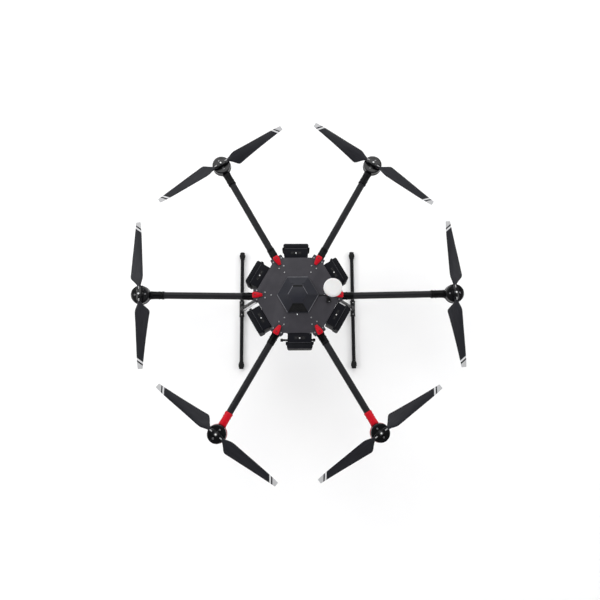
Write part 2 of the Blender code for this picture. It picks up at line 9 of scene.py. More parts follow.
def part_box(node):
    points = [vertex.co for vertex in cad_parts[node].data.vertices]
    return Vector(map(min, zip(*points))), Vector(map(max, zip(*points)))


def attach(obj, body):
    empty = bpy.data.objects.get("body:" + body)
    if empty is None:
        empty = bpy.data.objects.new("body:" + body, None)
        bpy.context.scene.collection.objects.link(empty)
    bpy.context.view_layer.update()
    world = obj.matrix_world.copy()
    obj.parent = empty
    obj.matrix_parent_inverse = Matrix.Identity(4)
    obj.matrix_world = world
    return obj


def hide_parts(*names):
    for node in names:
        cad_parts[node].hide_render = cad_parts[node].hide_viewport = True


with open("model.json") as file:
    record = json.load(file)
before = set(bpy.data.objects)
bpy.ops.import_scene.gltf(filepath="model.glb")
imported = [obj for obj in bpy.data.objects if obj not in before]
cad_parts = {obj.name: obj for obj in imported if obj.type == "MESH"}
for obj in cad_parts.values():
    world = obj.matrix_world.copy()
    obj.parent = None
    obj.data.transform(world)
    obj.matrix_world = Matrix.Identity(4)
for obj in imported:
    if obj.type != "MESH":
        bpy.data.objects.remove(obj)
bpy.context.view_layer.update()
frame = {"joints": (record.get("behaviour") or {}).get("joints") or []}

# Looks of the folding six-rotor drone, +Z up, nose towards -Y.  Shapes are in millimetres; closed,
# loft, lathe, cover, bell_mesh and shift turn them into Blender's metres.  Finishes, floor, lights
# and camera are in metres.
MM = 0.001
JOINT = {joint["name"]: joint for joint in frame["joints"]}
GAP = 0.3                          # clearance between touching pieces
ORIGIN, UP, DOWN = (0, 0, 0), (0, 0, 1), (0, 0, -1)

ARM_NAMES = ("left", "rear_left", "rear_right", "right", "front_right", "front_left")
SIXTHS = range(0, 360, 60)         # bearings of the arms; the batteries stand half-way between
BATTERY_NAMES = ("left_rear", "rear", "right_rear", "right_front", "front", "left_front")


def box(node):
    """Low and high corners of a node."""
    return [Vector(corner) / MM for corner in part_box(node)]


def pivot(joint):
    """Point that a joint turns about."""
    return Vector(JOINT[joint]["pos_m"]) / MM


def shift(point):
    return Matrix.Translation(Vector(point) * MM)


DECK_LOW = box("upper_plate")[0].z
DECK_TOP = DECK_LOW + 3
FLOOR = box("landing_gear_left")[0].z
ARM_PIN = pivot("arm_fold_left")
LOCK_REACH = pivot("lock_turn_left").x
GEAR_PIN = pivot("gear_retract_left")
BLADE_PIN = (pivot("blade_fold_left_a") - pivot("rotor_spin_left")).xy.length
BUTTON_REACH = 157                 # hub's axis to a battery's button
FLAT = math.cos(math.pi / 6)       # a hexagon's flat against its corner
TUBE_RADIUS, TUBE_BORE = 12.5, 11
LEG_RADIUS, LEG_BORE = 8, 6.6
PIN_RADIUS = 3.9
GEAR_SPREAD = 125                  # hinge to skid
FOOT_RADIUS = 13
BLADE_HALF = 3.7                   # half the height of a blade's root


# ---- materials
def new_node(tree, kind, inputs=(), **settings):
    """Shader node with its sockets set to values or linked to other nodes' outputs."""
    made = tree.nodes.new(kind)
    for key, value in settings.items():
        setattr(made, key, value)
    for key, value in dict(inputs).items():
        if isinstance(value, bpy.types.NodeSocket):
            tree.links.new(value, made.inputs[key])
        else:
            made.inputs[key].default_value = value
    return made


class Finish:
    """A node material on a Principled shader, with short calls for its procedural detail."""

    def __init__(self, name, roughness, metallic=0.0, **sockets):
        self.material = bpy.data.materials.new(name)
        self.material.use_nodes = True
        self.tree = self.material.node_tree
        self.shader = self.tree.nodes["Principled BSDF"]
        self.shader.inputs["Roughness"].default_value = roughness
        self.shader.inputs["Metallic"].default_value = metallic
        self.shader.inputs["Specular IOR Level"].default_value = 0.5 if metallic else 0.2
        for socket, value in sockets.items():
            self.shader.inputs[socket.replace("_", " ")].default_value = value
        self.place = self.node("ShaderNodeTexCoord").outputs["Object"]
        self.normal = None

    def node(self, kind, inputs=(), **settings):
        return new_node(self.tree, kind, inputs, **settings)

    def math(self, operation, first, second=0.0):
        return self.node("ShaderNodeMath", {0: first, 1: second}, operation=operation).outputs[0]

    def axes(self):
        parts = self.node("ShaderNodeSeparateXYZ", {0: self.place}).outputs
        return parts[0], parts[1], parts[2]

    def noise(self, scale, detail=3.0, stretch=(1, 1, 1)):
        place = self.place
        if stretch != (1, 1, 1):
            place = self.node("ShaderNodeMapping", {"Vector": place, "Scale": stretch}).outputs[0]
        return self.node("ShaderNodeTexNoise", {"Vector": place, "Scale": scale,
            "Detail": detail}).outputs["Fac"]

    def ramp(self, factor, stops, mode="LINEAR"):
        made = self.node("ShaderNodeValToRGB", {"Fac": factor})
        made.color_ramp.interpolation = mode
        points = made.color_ramp.elements
        while len(points) < len(stops):
            points.new(0.5)
        for point, (position, colour) in zip(points, stops):
            point.position = position
            point.color = (*colour, 1.0)
        return made.outputs["Color"]

    def levels(self, factor, low, high):
        """Map a 0.3-0.7 noise to a range of values."""
        return self.node("ShaderNodeMapRange", {"Value": factor, "From Min": 0.3, "From Max": 0.7,
            "To Min": low, "To Max": high}).outputs[0]

    def colour(self, value):
        self.tree.links.new(value, self.shader.inputs["Base Color"])

    def clouds(self, scale, detail, dark, light):
        """Noise between two colours."""
        return self.ramp(self.noise(scale, detail), ((0.3, dark), (0.7, light)))

    def gloss(self, scale, detail, low, high):
        """Roughness that wanders between two values."""
        value = self.levels(self.noise(scale, detail), low, high)
        self.tree.links.new(value, self.shader.inputs["Roughness"])

    def bump(self, height, distance, strength=0.6):
        inputs = {"Height": height, "Distance": distance, "Strength": strength}
        if self.normal:
            inputs["Normal"] = self.normal
        self.normal = self.node("ShaderNodeBump", inputs).outputs[0]
        self.tree.links.new(self.normal, self.shader.inputs["Normal"])

    def stone(self, dark, light, scale=90.0):
        """Uneven colour between two shades: broad clouds with a fine speckle in them."""
        broad = self.noise(scale * 0.25, 4.0)
        fine = self.noise(scale * 9.0, 2.0)
        both = self.math("ADD", self.math("MULTIPLY", broad, 0.6), self.math("MULTIPLY", fine, 0.4))
        self.colour(self.ramp(both, ((0.32, dark), (0.68, light))))

    def weave(self, along, around, tow, dark, light):
        """Two-by-two twill: colour and height of the tows."""
        first = self.math("DIVIDE", along, tow)
        second = self.math("DIVIDE", around, tow)
        step = self.math("SUBTRACT", self.math("FLOOR", first), self.math("FLOOR", second))
        over = self.math("LESS_THAN", self.math("FLOORED_MODULO", step, 4.0), 1.5)
        first = self.math("PINGPONG", first, 0.5)
        second = self.math("PINGPONG", second, 0.5)
        height = self.node("ShaderNodeMix", {0: over, 2: first, 3: second}).outputs[0]
        shade = self.math("ADD", self.math("MULTIPLY", over, 0.45), self.math("MULTIPLY", height, 0.9))
        self.colour(self.ramp(shade, ((0.1, dark), (0.85, light))))
        self.bump(height, 0.0003, 0.35)


def moulding(name, dark, light, roughness, spread=0.06, grain=1500.0, depth=0.00012, **sockets):
    """Injection-moulded plastic: cloudy colour, spark-eroded grain, uneven gloss."""
    made = Finish(name, roughness, **sockets)
    made.stone(dark, light)
    made.gloss(60.0, 3.0, roughness - spread, roughness + spread)
    made.bump(made.noise(grain, 2.0), depth)
    return made.material


def carbon(name, kind, dark, light, roughness, tow=0.0016, **sockets):
    """Woven carbon, wrapped on a tube along X or Z, or flat in X and Y."""
    made = Finish(name, roughness, **sockets)
    x, y, z = made.axes()
    if kind == "flat":
        made.weave(x, y, tow, dark, light)
    else:
        along, one, two = (x, y, z) if kind == "x" else (z, x, y)
        turn = made.math("MULTIPLY", made.math("ARCTAN2", one, two), 0.0125)
        made.weave(along, turn, tow, dark, light)
    made.gloss(40.0, 4.0, roughness - 0.05, roughness + 0.08)
    return made.material


def machined(name, dark, light, roughness, metallic, rings=900.0, **sockets):
    """Turned metal: fine tool rings round Z, with faint smudges."""
    made = Finish(name, roughness, metallic, **sockets)
    x, y, z = made.axes()
    reach = made.math("SQRT", made.math("ADD", made.math("MULTIPLY", x, x), made.math("MULTIPLY", y, y)))
    ring = made.math("SINE", made.math("MULTIPLY", made.math("ADD", reach, z), rings * math.tau))
    made.stone(dark, light, 120.0)
    made.gloss(110.0, 4.0, roughness - 0.04, roughness + 0.08)
    made.bump(ring, 0.00003, 0.25)
    return made.material


def painted(name, dark, light, roughness, **sockets):
    """Anodised or painted part: slight orange peel and a few worn, paler scuffs."""
    made = Finish(name, roughness, **sockets)
    made.stone(dark, light, 70.0)
    made.gloss(130.0, 5.0, roughness - 0.05, roughness + 0.1)
    made.bump(made.noise(420.0, 2.0), 0.0001, 0.4)
    return made.material


def blade_finish(name, hand):
    """Composite blade: chordwise streaks, slanted white and black bands and a pale grey tip."""
    made = Finish(name, 0.42)
    x, y, _ = made.axes()
    reach = made.math("ADD", x, made.math("MULTIPLY", y, 0.8 * hand))
    streak = made.noise(120.0, 4.0, (0.25, 3.0, 1.0))
    cloth = made.ramp(streak, ((0.3, (0.006, 0.0062, 0.0086)), (0.72, (0.013, 0.0134, 0.0178))))
    pale = made.clouds(300.0, 3.0, (0.5, 0.5, 0.51), (0.58, 0.58, 0.59))
    band_start, band_length = 0.214, 0.04
    share = made.math("DIVIDE", made.math("SUBTRACT", reach, band_start), band_length)
    mask = made.ramp(share, ((0.0, (0, 0, 0)), (0.0375, (1, 1, 1)), (0.2125, (0, 0, 0)),
        (0.375, (0.76, 0.76, 0.76))), "CONSTANT")
    made.colour(made.node("ShaderNodeMix", {0: mask, 6: cloth, 7: pale}, data_type="RGBA").outputs[2])
    made.gloss(55.0, 4.0, 0.38, 0.5)
    made.bump(streak, 0.0001, 0.35)
    return made.material


def winding_finish():
    """Enamelled copper wire: the turns show as fine ridges round each tooth."""
    made = Finish("copper_wire", 0.32, 0.85)
    _, _, z = made.axes()
    ridge = made.math("SINE", made.math("MULTIPLY", z, 5200.0))
    made.colour(made.clouds(500.0, 3.0, (0.3, 0.075, 0.02), (0.5, 0.15, 0.05)))
    made.bump(ridge, 0.0002, 0.6)
    return made.material


def lamp_finish():
    """Small light-emitting lens with a milky body."""
    made = Finish("status_lens", 0.25, Emission_Strength=0.6)
    glow = made.clouds(700.0, 2.0, (0.75, 0.8, 0.82), (0.95, 0.97, 0.98))
    made.colour(glow)
    made.tree.links.new(glow, made.shader.inputs["Emission Color"])
    return made.material


DECK = moulding("deck_plate", (0.027, 0.0258, 0.031), (0.04, 0.038, 0.045), 0.55, 0.05, 900.0, 0.0001)
COVER = moulding("cover_plastic", (0.012, 0.0125, 0.0172), (0.0185, 0.019, 0.026), 0.36, 0.05, 2200.0,
    0.00006)
# Painted highlight: pale grey for the cover's edge bands that catch the light.
EDGE_HIGHLIGHT = moulding("cover_painted_edge_highlight", (0.125, 0.126, 0.138), (0.19, 0.191, 0.208), 0.24, 0.05, 2200.0, 0.00004)
# Dimmer painted highlight for the cover's less lit edge bands and the battery ridge; also the grey of the
# battery's level marks.
DIM_HIGHLIGHT_AND_LED_GREY = moulding("dim_painted_highlight_and_led_grey", (0.042, 0.0425, 0.048), (0.064, 0.0645, 0.072), 0.3, 0.05, 2200.0,
    0.00004)
# Near-black plastic; the bar at the cover cap's rear edge uses it as painted shade.
NEAR_BLACK_AND_PAINTED_SHADE = moulding("near_black_plastic_and_painted_shade", (0.002, 0.002, 0.0025), (0.0042, 0.0042, 0.005), 0.62, 0.05, 1200.0,
    0.00006)
BLACK = moulding("black_moulding", (0.004, 0.004, 0.005), (0.0085, 0.0085, 0.01), 0.42)
GLOSS = moulding("gloss_moulding", (0.0014, 0.0014, 0.0018), (0.003, 0.003, 0.0036), 0.3, 0.05, 900.0,
    0.00004, Specular_IOR_Level=0.08)
PACK = moulding("battery_shell", (0.0042, 0.0045, 0.0062), (0.0082, 0.0086, 0.011), 0.6, 0.07, 1300.0,
    0.00016, Specular_IOR_Level=0.08)
PACK_TOP = moulding("battery_top", (0.004, 0.0042, 0.006), (0.0075, 0.0078, 0.0105), 0.46, 0.06, 1700.0,
    0.0001, Specular_IOR_Level=0.05)
RUBBER = moulding("rubber", (0.005, 0.005, 0.0055), (0.0115, 0.0115, 0.012), 0.78, 0.08, 700.0, 0.0003)
WHITE = moulding("white_plastic", (0.61, 0.61, 0.608), (0.672, 0.672, 0.67), 0.38, 0.06, 1600.0, 0.00006,
    Subsurface_Weight=0.05)
# Painted highlight: pale grey for the bars on the propeller clamp.
CLAMP_HIGHLIGHT_GREY = moulding("painted_clamp_highlight", (0.3, 0.3, 0.305), (0.4, 0.4, 0.405), 0.4, 0.06, 1600.0, 0.00006)
SHEATH = moulding("lead_sheath", (0.56, 0.555, 0.57), (0.74, 0.735, 0.75), 0.45, 0.08, 2600.0, 0.00015)
RED = painted("red_anodised", (0.4, 0.0026, 0.01), (0.53, 0.006, 0.018), 0.34, Specular_IOR_Level=0.12)
TUBE = carbon("carbon_tube", "x", (0.005, 0.005, 0.0064), (0.014, 0.0136, 0.0162), 0.38,
    Specular_IOR_Level=0.16)
SKID = carbon("carbon_skid", "z", (0.0035, 0.0035, 0.0045), (0.0095, 0.0093, 0.0115), 0.34,
    Specular_IOR_Level=0.1)
SHEET = carbon("carbon_sheet", "flat", (0.011, 0.011, 0.0125), (0.029, 0.029, 0.032), 0.42, 0.002)
BELL = machined("bell_anodised", (0.0024, 0.0025, 0.0031), (0.0052, 0.0053, 0.0062), 0.17, 0.0,
    Coat_Weight=0.3, Coat_Roughness=0.08)
# Satin grey metal, used for the bell's screws and, as a painted highlight, for the lip ring of the black
# motor cups.
SCREW_GREY_AND_LIP_HIGHLIGHT = machined("satin_screw_grey_and_painted_lip_highlight", (0.16, 0.16, 0.166), (0.24, 0.24, 0.25), 0.34, 0.6)
STEEL = machined("bright_steel", (0.47, 0.47, 0.48), (0.61, 0.61, 0.62), 0.26, 0.95)
SCREW = machined("screw_steel", (0.29, 0.29, 0.297), (0.4, 0.4, 0.408), 0.32, 0.9)
DARK_STEEL = machined("black_steel", (0.022, 0.022, 0.024), (0.045, 0.045, 0.048), 0.36, 0.8)
BLADES = {hand: blade_finish("blade_composite_" + end, hand) for hand, end in ((-1, "minus"), (1, "plus"))}
COPPER = winding_finish()
LENS = lamp_finish()
BOARD = moulding("solder_mask", (0.006, 0.05, 0.018), (0.011, 0.082, 0.03), 0.36, 0.06, 500.0, 0.00008)


# ---- forms
def rounded(outline, radius, steps=4):
    """Outline with each corner replaced by an arc; radius is one value or one for each corner."""
    count = len(outline)
    radii = radius if isinstance(radius, (list, tuple)) else [radius] * count
    points = []
    for index, corner in enumerate(outline):
        corner = Vector(corner)
        before = (Vector(outline[index - 1]) - corner).normalized()
        after = (Vector(outline[(index + 1) % count]) - corner).normalized()
        half = before.angle(after) / 2
        reach = radii[index] / math.tan(half)
        centre = corner + (before + after).normalized() * (radii[index] / math.sin(half))
        start = corner + before * reach - centre
        sweep = start.angle_signed(corner + after * reach - centre)
        for step in range(steps + 1):
            points.append(centre + Matrix.Rotation(-sweep * step / steps, 2) @ start)
    return points


def closed(bm, bevel=0.0, segments=2, angle=32.0):
    """Face normals out, and every edge sharper than the angle bevelled."""
    bmesh.ops.recalc_face_normals(bm, faces=bm.faces)
    if bevel:
        edges = [edge for edge in bm.edges
            if len(edge.link_faces) == 2 and edge.calc_face_angle(0.0) > math.radians(angle)]
        bmesh.ops.bevel(bm, geom=edges, offset=bevel * MM, segments=segments, profile=0.5, affect="EDGES",
            clamp_overlap=True)
    return bm


def loft(loops, bevel=0.0, segments=2, ring=False):
    """Skin over loops of equally many points; capped at both ends unless the loops form a ring."""
    bm = bmesh.new()
    rows = [[bm.verts.new(Vector(point) * MM) for point in loop] for loop in loops]
    count = len(rows[0])
    pairs = list(zip(rows, rows[1:])) + ([(rows[-1], rows[0])] if ring else [])
    for near, far in pairs:
        for k in range(count):
            bm.faces.new((near[k - 1], near[k], far[k], far[k - 1]))
    if not ring:
        bm.faces.new(rows[0])
        bm.faces.new(rows[-1])
    return closed(bm, bevel, segments)


def plate(outline, low, high, bevel=0.0, segments=2):
    return loft([[(x, y, low) for x, y in outline], [(x, y, high) for x, y in outline]], bevel, segments)


def corners(low, high):
    """Rectangle between two corners."""
    return [(low[0], low[1]), (high[0], low[1]), (high[0], high[1]), (low[0], high[1])]


def block(corner, opposite, bevel=0.0, segments=2):
    low, high = (Vector(map(pick, corner, opposite)) for pick in (min, max))
    return plate(corners(low, high), low.z, high.z, bevel, segments)


def lathe(profile, sides=48, start=ORIGIN, toward=UP):
    """Turned body from (radius, distance) points: closed on its axis, or a ring if it never meets it."""
    ring = min(radius for radius, _ in profile) > 1e-6
    turn = Vector(toward).to_track_quat("Z", "Y").to_matrix()
    bm = bmesh.new()
    rows = []
    for radius, height in profile:
        count = sides if radius > 1e-6 else 1
        rows.append([bm.verts.new((Vector(start) + turn @ polar(radius, 360 * k / sides, height)) * MM)
            for k in range(count)])
    for near, far in list(zip(rows, rows[1:])) + ([(rows[-1], rows[0])] if ring else []):
        for k in range(sides):
            if len(near) == 1:
                verts = [near[0], far[k], far[k - 1]]
            elif len(far) == 1:
                verts = [near[k - 1], near[k], far[0]]
            else:
                verts = [near[k - 1], near[k], far[k], far[k - 1]]
            bm.faces.new(verts)
    return closed(bm)


def mirrored(profile, length):
    """Profile from one end, completed with its mirror image at the other."""
    return [*profile, *((radius, length - height) for radius, height in reversed(profile))]


def rod(start, end, radius, sides=32, chamfer=0.6, bore=0.0):
    """Round bar with chamfered ends, hollow if it has a bore."""
    start = Vector(start)
    length = (Vector(end) - start).length
    cut = min(chamfer, radius * 0.45, length * 0.4)
    profile = [(radius - cut, 0), (radius, cut), (radius, length - cut), (radius - cut, length)]
    if bore:
        profile += [(bore, length), (bore, 0)]
    else:
        profile = [(0, 0), *profile, (0, length)]
    return lathe(profile, sides, start, Vector(end) - start)


def smooth_path(points, steps=6):
    """Catmull-Rom curve through the points."""
    points = [Vector(point) for point in points]
    points = [points[0] * 2 - points[1], *points, points[-1] * 2 - points[-2]]
    path = []
    for a, b, c, d in zip(points, points[1:], points[2:], points[3:]):
        for step in range(steps):
            t = step / steps
            square, cube = 2 * a - 5 * b + 4 * c - d, 3 * b - a - 3 * c + d
            path.append(0.5 * (2 * b + (c - a) * t + square * t * t + cube * t ** 3))
    return path + [points[-2]]


def cable(points, radius, sides=10, steps=6):
    """Round cable along a smooth curve through the points."""
    path = smooth_path(points, steps)
    side = (path[1] - path[0]).orthogonal().normalized()
    spokes = [polar(1, 360 * k / sides) for k in range(sides)]
    loops = []
    for index, point in enumerate(path):
        ahead = (path[min(index + 1, len(path) - 1)] - path[max(index - 1, 0)]).normalized()
        side = (side - ahead * side.dot(ahead)).normalized()
        across = ahead.cross(side)
        loops.append([point + (side * spoke.x + across * spoke.y) * radius for spoke in spokes])
    return loft(loops)


def screw(at, toward=UP, radius=2.8, height=1.8):
    """Domed socket-head screw."""
    profile = [(0, height * 0.35), (radius * 0.42, height * 0.35), (radius * 0.46, height * 0.95),
        (radius * 0.62, height), (radius * 0.88, height * 0.78), (radius, height * 0.35), (radius, -0.2),
        (0, -0.2)]
    return lathe(profile, 16, at, toward)


class Form:
    """Closed shells gathered into one mesh, each with its own finish."""

    def __init__(self):
        self.bm = bmesh.new()
        self.finishes = []

    def add(self, finish, *shells):
        if finish not in self.finishes:
            self.finishes.append(finish)
        index = self.finishes.index(finish)
        for shell in shells:
            for face in shell.faces:
                face.material_index = index
            self.join(shell)
        return self

    def join(self, shell):
        """Take in a shell whose faces already have their material numbers."""
        mesh = bpy.data.meshes.new("shell")
        shell.to_mesh(mesh)
        shell.free()
        self.bm.from_mesh(mesh)
        bpy.data.meshes.remove(mesh)

    def mesh(self, name, sharp=38.0):
        made = bpy.data.meshes.new(name)
        self.bm.to_mesh(made)
        self.bm.free()
        for finish in self.finishes:
            made.materials.append(finish)
        made.shade_smooth()
        made.set_sharp_from_angle(angle=math.radians(sharp))
        return made


def put(name, shape, body, nodes=(), matrix=None, sharp=38.0):
    """Place a form or a shared mesh in the row frame, ride it on its body, name it and hide the nodes it
    stands for.
    """
    item = bpy.data.objects.new(name, shape.mesh(name, sharp) if isinstance(shape, Form) else shape)
    bpy.context.scene.collection.objects.link(item)
    item.matrix_world = matrix or Matrix.Identity(4)
    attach(item, body)
    if nodes:
        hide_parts(*nodes)


def frame_at(point, degrees=0.0):
    return shift(point) @ Matrix.Rotation(math.radians(degrees), 4, "Z")


def polar(radius, degrees, height=0.0):
    angle = math.radians(degrees)
    return Vector((radius * math.cos(angle), radius * math.sin(angle), height))


def about(degrees, point):
    """Point turned about the upright axis, in plan or in space."""
    spun = Matrix.Rotation(math.radians(degrees), 3, "Z") @ Vector(point).to_3d()
    return spun if len(point) == 3 else spun.xy


def turned(shell, degrees):
    """Shell turned about the upright axis."""
    bmesh.ops.rotate(shell, cent=ORIGIN, matrix=Matrix.Rotation(math.radians(degrees), 3, "Z"),
        verts=shell.verts)
    return shell


def upright(outline, near, far, bevel=0.6):
    """Plate standing on edge: an outline in X and Z between two values of Y."""
    return loft([[(x, y, z) for x, z in outline] for y in sorted((near, far))], bevel)


def hexagon(radius, height, forward=0.0):
    return [polar(radius, angle, height) + Vector((0, forward, 0)) for angle in SIXTHS]


# ---- centre body
def deck():
    """Matt deck plate with an ear over each arm root."""
    flats, half, reach = 139, 23.5, 162
    neck = (flats - half / 2) / FLAT
    outline = []
    radii = []
    for angle in SIXTHS:
        outline += [about(angle, point) for point in corners((neck, -half), (reach, half))]
        radii += [5, 4, 4, 5]
    form = Form().add(DECK, plate(rounded(outline, radii), DECK_LOW, DECK_TOP, 0.5))
    studs = [rod(polar(LOCK_REACH, angle, DECK_TOP - 1), polar(LOCK_REACH, angle, DECK_TOP + 7.5), 2.7, 20)
        for angle in SIXTHS]
    form.add(DARK_STEEL, *studs)
    put("deck", form, "airframe", ["upper_plate"])

    heads = Form()
    for angle in SIXTHS:
        for radius, across in ((119, -10), (119, 10), (96.6, 0), (149.5, -16.5), (149.5, 16.5)):
            heads.add(SCREW, screw(about(angle, (radius, across, DECK_TOP)), UP, 2.6, 1.5))
    put("deck_screws", heads, "airframe")
    lens = lathe([(0, 1.2), (0.6, 1.1), (1, 0.8), (1.2, 0.4), (1.6, 0.4), (1.6, 0), (0, 0)], 20,
        (-2.5, -71.5, DECK_TOP))
    put("status_light", Form().add(LENS, lens), "airframe")


def cover():
    """Stepped cover: sloped skirt, raised six-sided cap, black recess over the front slope, pale bands of
    painted highlight on its edges and a black bar of painted shade at the cap's rear edge.
    """
    low = DECK_TOP + GAP
    slope_low, top = low + 5.8, low + 26.2
    skirt, cap, forward = 74, 37.2, -3
    bm = bmesh.new()
    rows = [[bm.verts.new(point * MM) for point in hexagon(*row)] for row in (
        (76.5, low), (76.5, low + 3.6), (skirt, slope_low), (cap, top, forward),
        (36.8, top + 1, forward), (34.6, top + 3, forward))]
    sides = {}
    for number, (near, far) in enumerate(zip(rows, rows[1:])):
        for k in range(6):
            sides[number, k] = bm.faces.new((near[k - 1], near[k], far[k], far[k - 1]))
    bm.faces.new(rows[0])
    bm.faces.new(rows[-1])
    bmesh.ops.recalc_face_normals(bm, faces=bm.faces)
    front = min(range(6), key=lambda k: sides[2, k].calc_center_median().y)
    # Painted highlights: the cap's top bevel on its three rear sides and the base chamfer band on every side
    # but the front get a pale grey, the base band a dimmer grey on the two rear corner sides, chosen by which
    # way each side faces.
    for (number, k), face in sides.items():
        across = sides[2, k].calc_center_median().y / MM
        if k != front and number == 4 and across > 10:
            face.material_index = 1
        elif k != front and number == 1:
            face.material_index = 3 if 10 < across < 38 else 1
    slope = sides[2, front]
    slope.material_index = 2
    bmesh.ops.inset_region(bm, faces=[slope], thickness=MM, depth=0.0)
    recess = bmesh.ops.extrude_discrete_faces(bm, faces=[slope])["faces"][0]
    bmesh.ops.translate(bm, verts=recess.verts, vec=-recess.normal * 3 * MM)
    for face in {face for vert in recess.verts for face in vert.link_faces}:
        face.material_index = 2
    closed(bm, 0.4, 2, 12.0)
    form = Form()
    form.finishes = [COVER, EDGE_HIGHLIGHT, NEAR_BLACK_AND_PAINTED_SHADE, DIM_HIGHLIGHT_AND_LED_GREY]
    form.join(bm)
    # Painted shade: a near-black bar, raised a little above the cap, stands for the shaded slot along the
    # cap's rear edge.
    rear = forward + 35.2 * FLAT
    form.add(NEAR_BLACK_AND_PAINTED_SHADE, block((-17.6, rear - 3, top - 1), (17.6, rear + 2.8, top + 3.7), 0.6))
    foot, head = -skirt * FLAT, forward - cap * FLAT
    for k in range(3):
        y = -44 - 6.5 * k
        half = 15 + 4 * k
        z = slope_low + (top - slope_low) * (y - foot) / (head - foot) - 3
        form.add(NEAR_BLACK_AND_PAINTED_SHADE, block((-half, y - 0.7, z - 0.8), (half, y + 0.7, z + 0.2), 0.3))
    for k in (-1, 1):
        form.add(NEAR_BLACK_AND_PAINTED_SHADE, block((k * 20 - 4.5, 37.5, low + 18), (k * 20 + 4.5, 39.2, low + 21.5), 0.4))
    put("cover_shell", form, "airframe", ["top_cover"], sharp=20.0)


def clipped(flats, corner):
    """Hexagon with its corners cut off square to the arms."""
    half = (flats - corner * FLAT) / math.sin(math.pi / 6)
    return [about(angle, (corner, side * half)) for angle in SIXTHS for side in (-1, 1)]


def centre_frame():
    """Ring between the plates with the arm clevises, battery rails and landing gear lugs."""
    low, high = box("centre_frame")[0].z, DECK_LOW - GAP
    floor = box("lower_plate")[1].z + GAP
    outer, inner = clipped(138.5, 132), clipped(134.5, 128)
    ring = [[(x, y, z) for x, y in outline] for outline, z in ((outer, floor), (outer, high), (inner, high),
        (inner, floor))]
    form = Form().add(BLACK, loft(ring, 0.6, 2, True))
    for angle in SIXTHS:
        for side in (-1, 1):
            outline = rounded([(130, 117), (152, 117), (160.5, 126), (160.5, high), (130, high)],
                [1, 6, 4, 1, 1])
            form.add(BLACK, turned(upright(outline, side * 16.3, side * 20.5), angle))
            at = about(angle, (ARM_PIN.x, side * 20.5, ARM_PIN.z))
            form.add(DARK_STEEL, lathe([(0, 0.8), (2.2, 0.8), (2.6, 2), (4.5, 2.4), (5.5, 1.4), (5.5, -0.3),
                (0, -0.3)], 24, at, about(angle, (0, side, 0))))
        ends = [about(angle, (ARM_PIN.x, y, ARM_PIN.z)) for y in (-18, 18)]
        form.add(DARK_STEEL, rod(*ends, PIN_RADIUS, 20))
        shelf = block((136, -28, floor), (178, 40, floor + 3.4), 0.8)
        ribs = [block((138.5, y - 1.2, floor - 0.4), (172, y + 1.2, floor + 1), 0.3) for y in (-18, 6, 30)]
        for shell in (shelf, *ribs):
            form.add(BLACK, turned(shell, 30 + angle))
    for side in (-1, 1):
        for low_y, high_y, out in ((11.5, 16, -1), (34, 38.5, 1)):
            outline = rounded(corners((113.5, low), (136, floor + 1.2)), [6, 6, 1, 1])
            form.add(BLACK, upright([(side * x, z) for x, z in outline], low_y, high_y))
            at = (side * GEAR_PIN.x, high_y if out > 0 else low_y, GEAR_PIN.z)
            form.add(DARK_STEEL, lathe([(0, 0.8), (2, 0.8), (2.4, 1.8), (4, 2), (4.8, 1.2), (4.8, -0.3),
                (0, -0.3)], 24, at, (0, out, 0)))
        form.add(BLACK, block((side * 113.5, 11.5, floor), (side * 128.5, 38.5, floor + 10), 0.8))
        ends = [(side * GEAR_PIN.x, y, GEAR_PIN.z) for y in (14, 36)]
        form.add(DARK_STEEL, rod(*ends, PIN_RADIUS, 20))
    put("frame_ring", form, "airframe", ["centre_frame"])


def lower_plate():
    """Bottom plate with its screws."""
    low, high = box("lower_plate")
    form = Form().add(SHEET, plate(rounded(clipped(138.5, 132), 4), low.z, high.z, 0.4))
    for angle in SIXTHS:
        for radius, across in ((124, -18), (124, 18), (100, 0)):
            form.add(STEEL, screw(about(angle, (radius, across, low.z)), DOWN, 2.6, 1.6))
    put("bottom_plate", form, "airframe", ["lower_plate"])


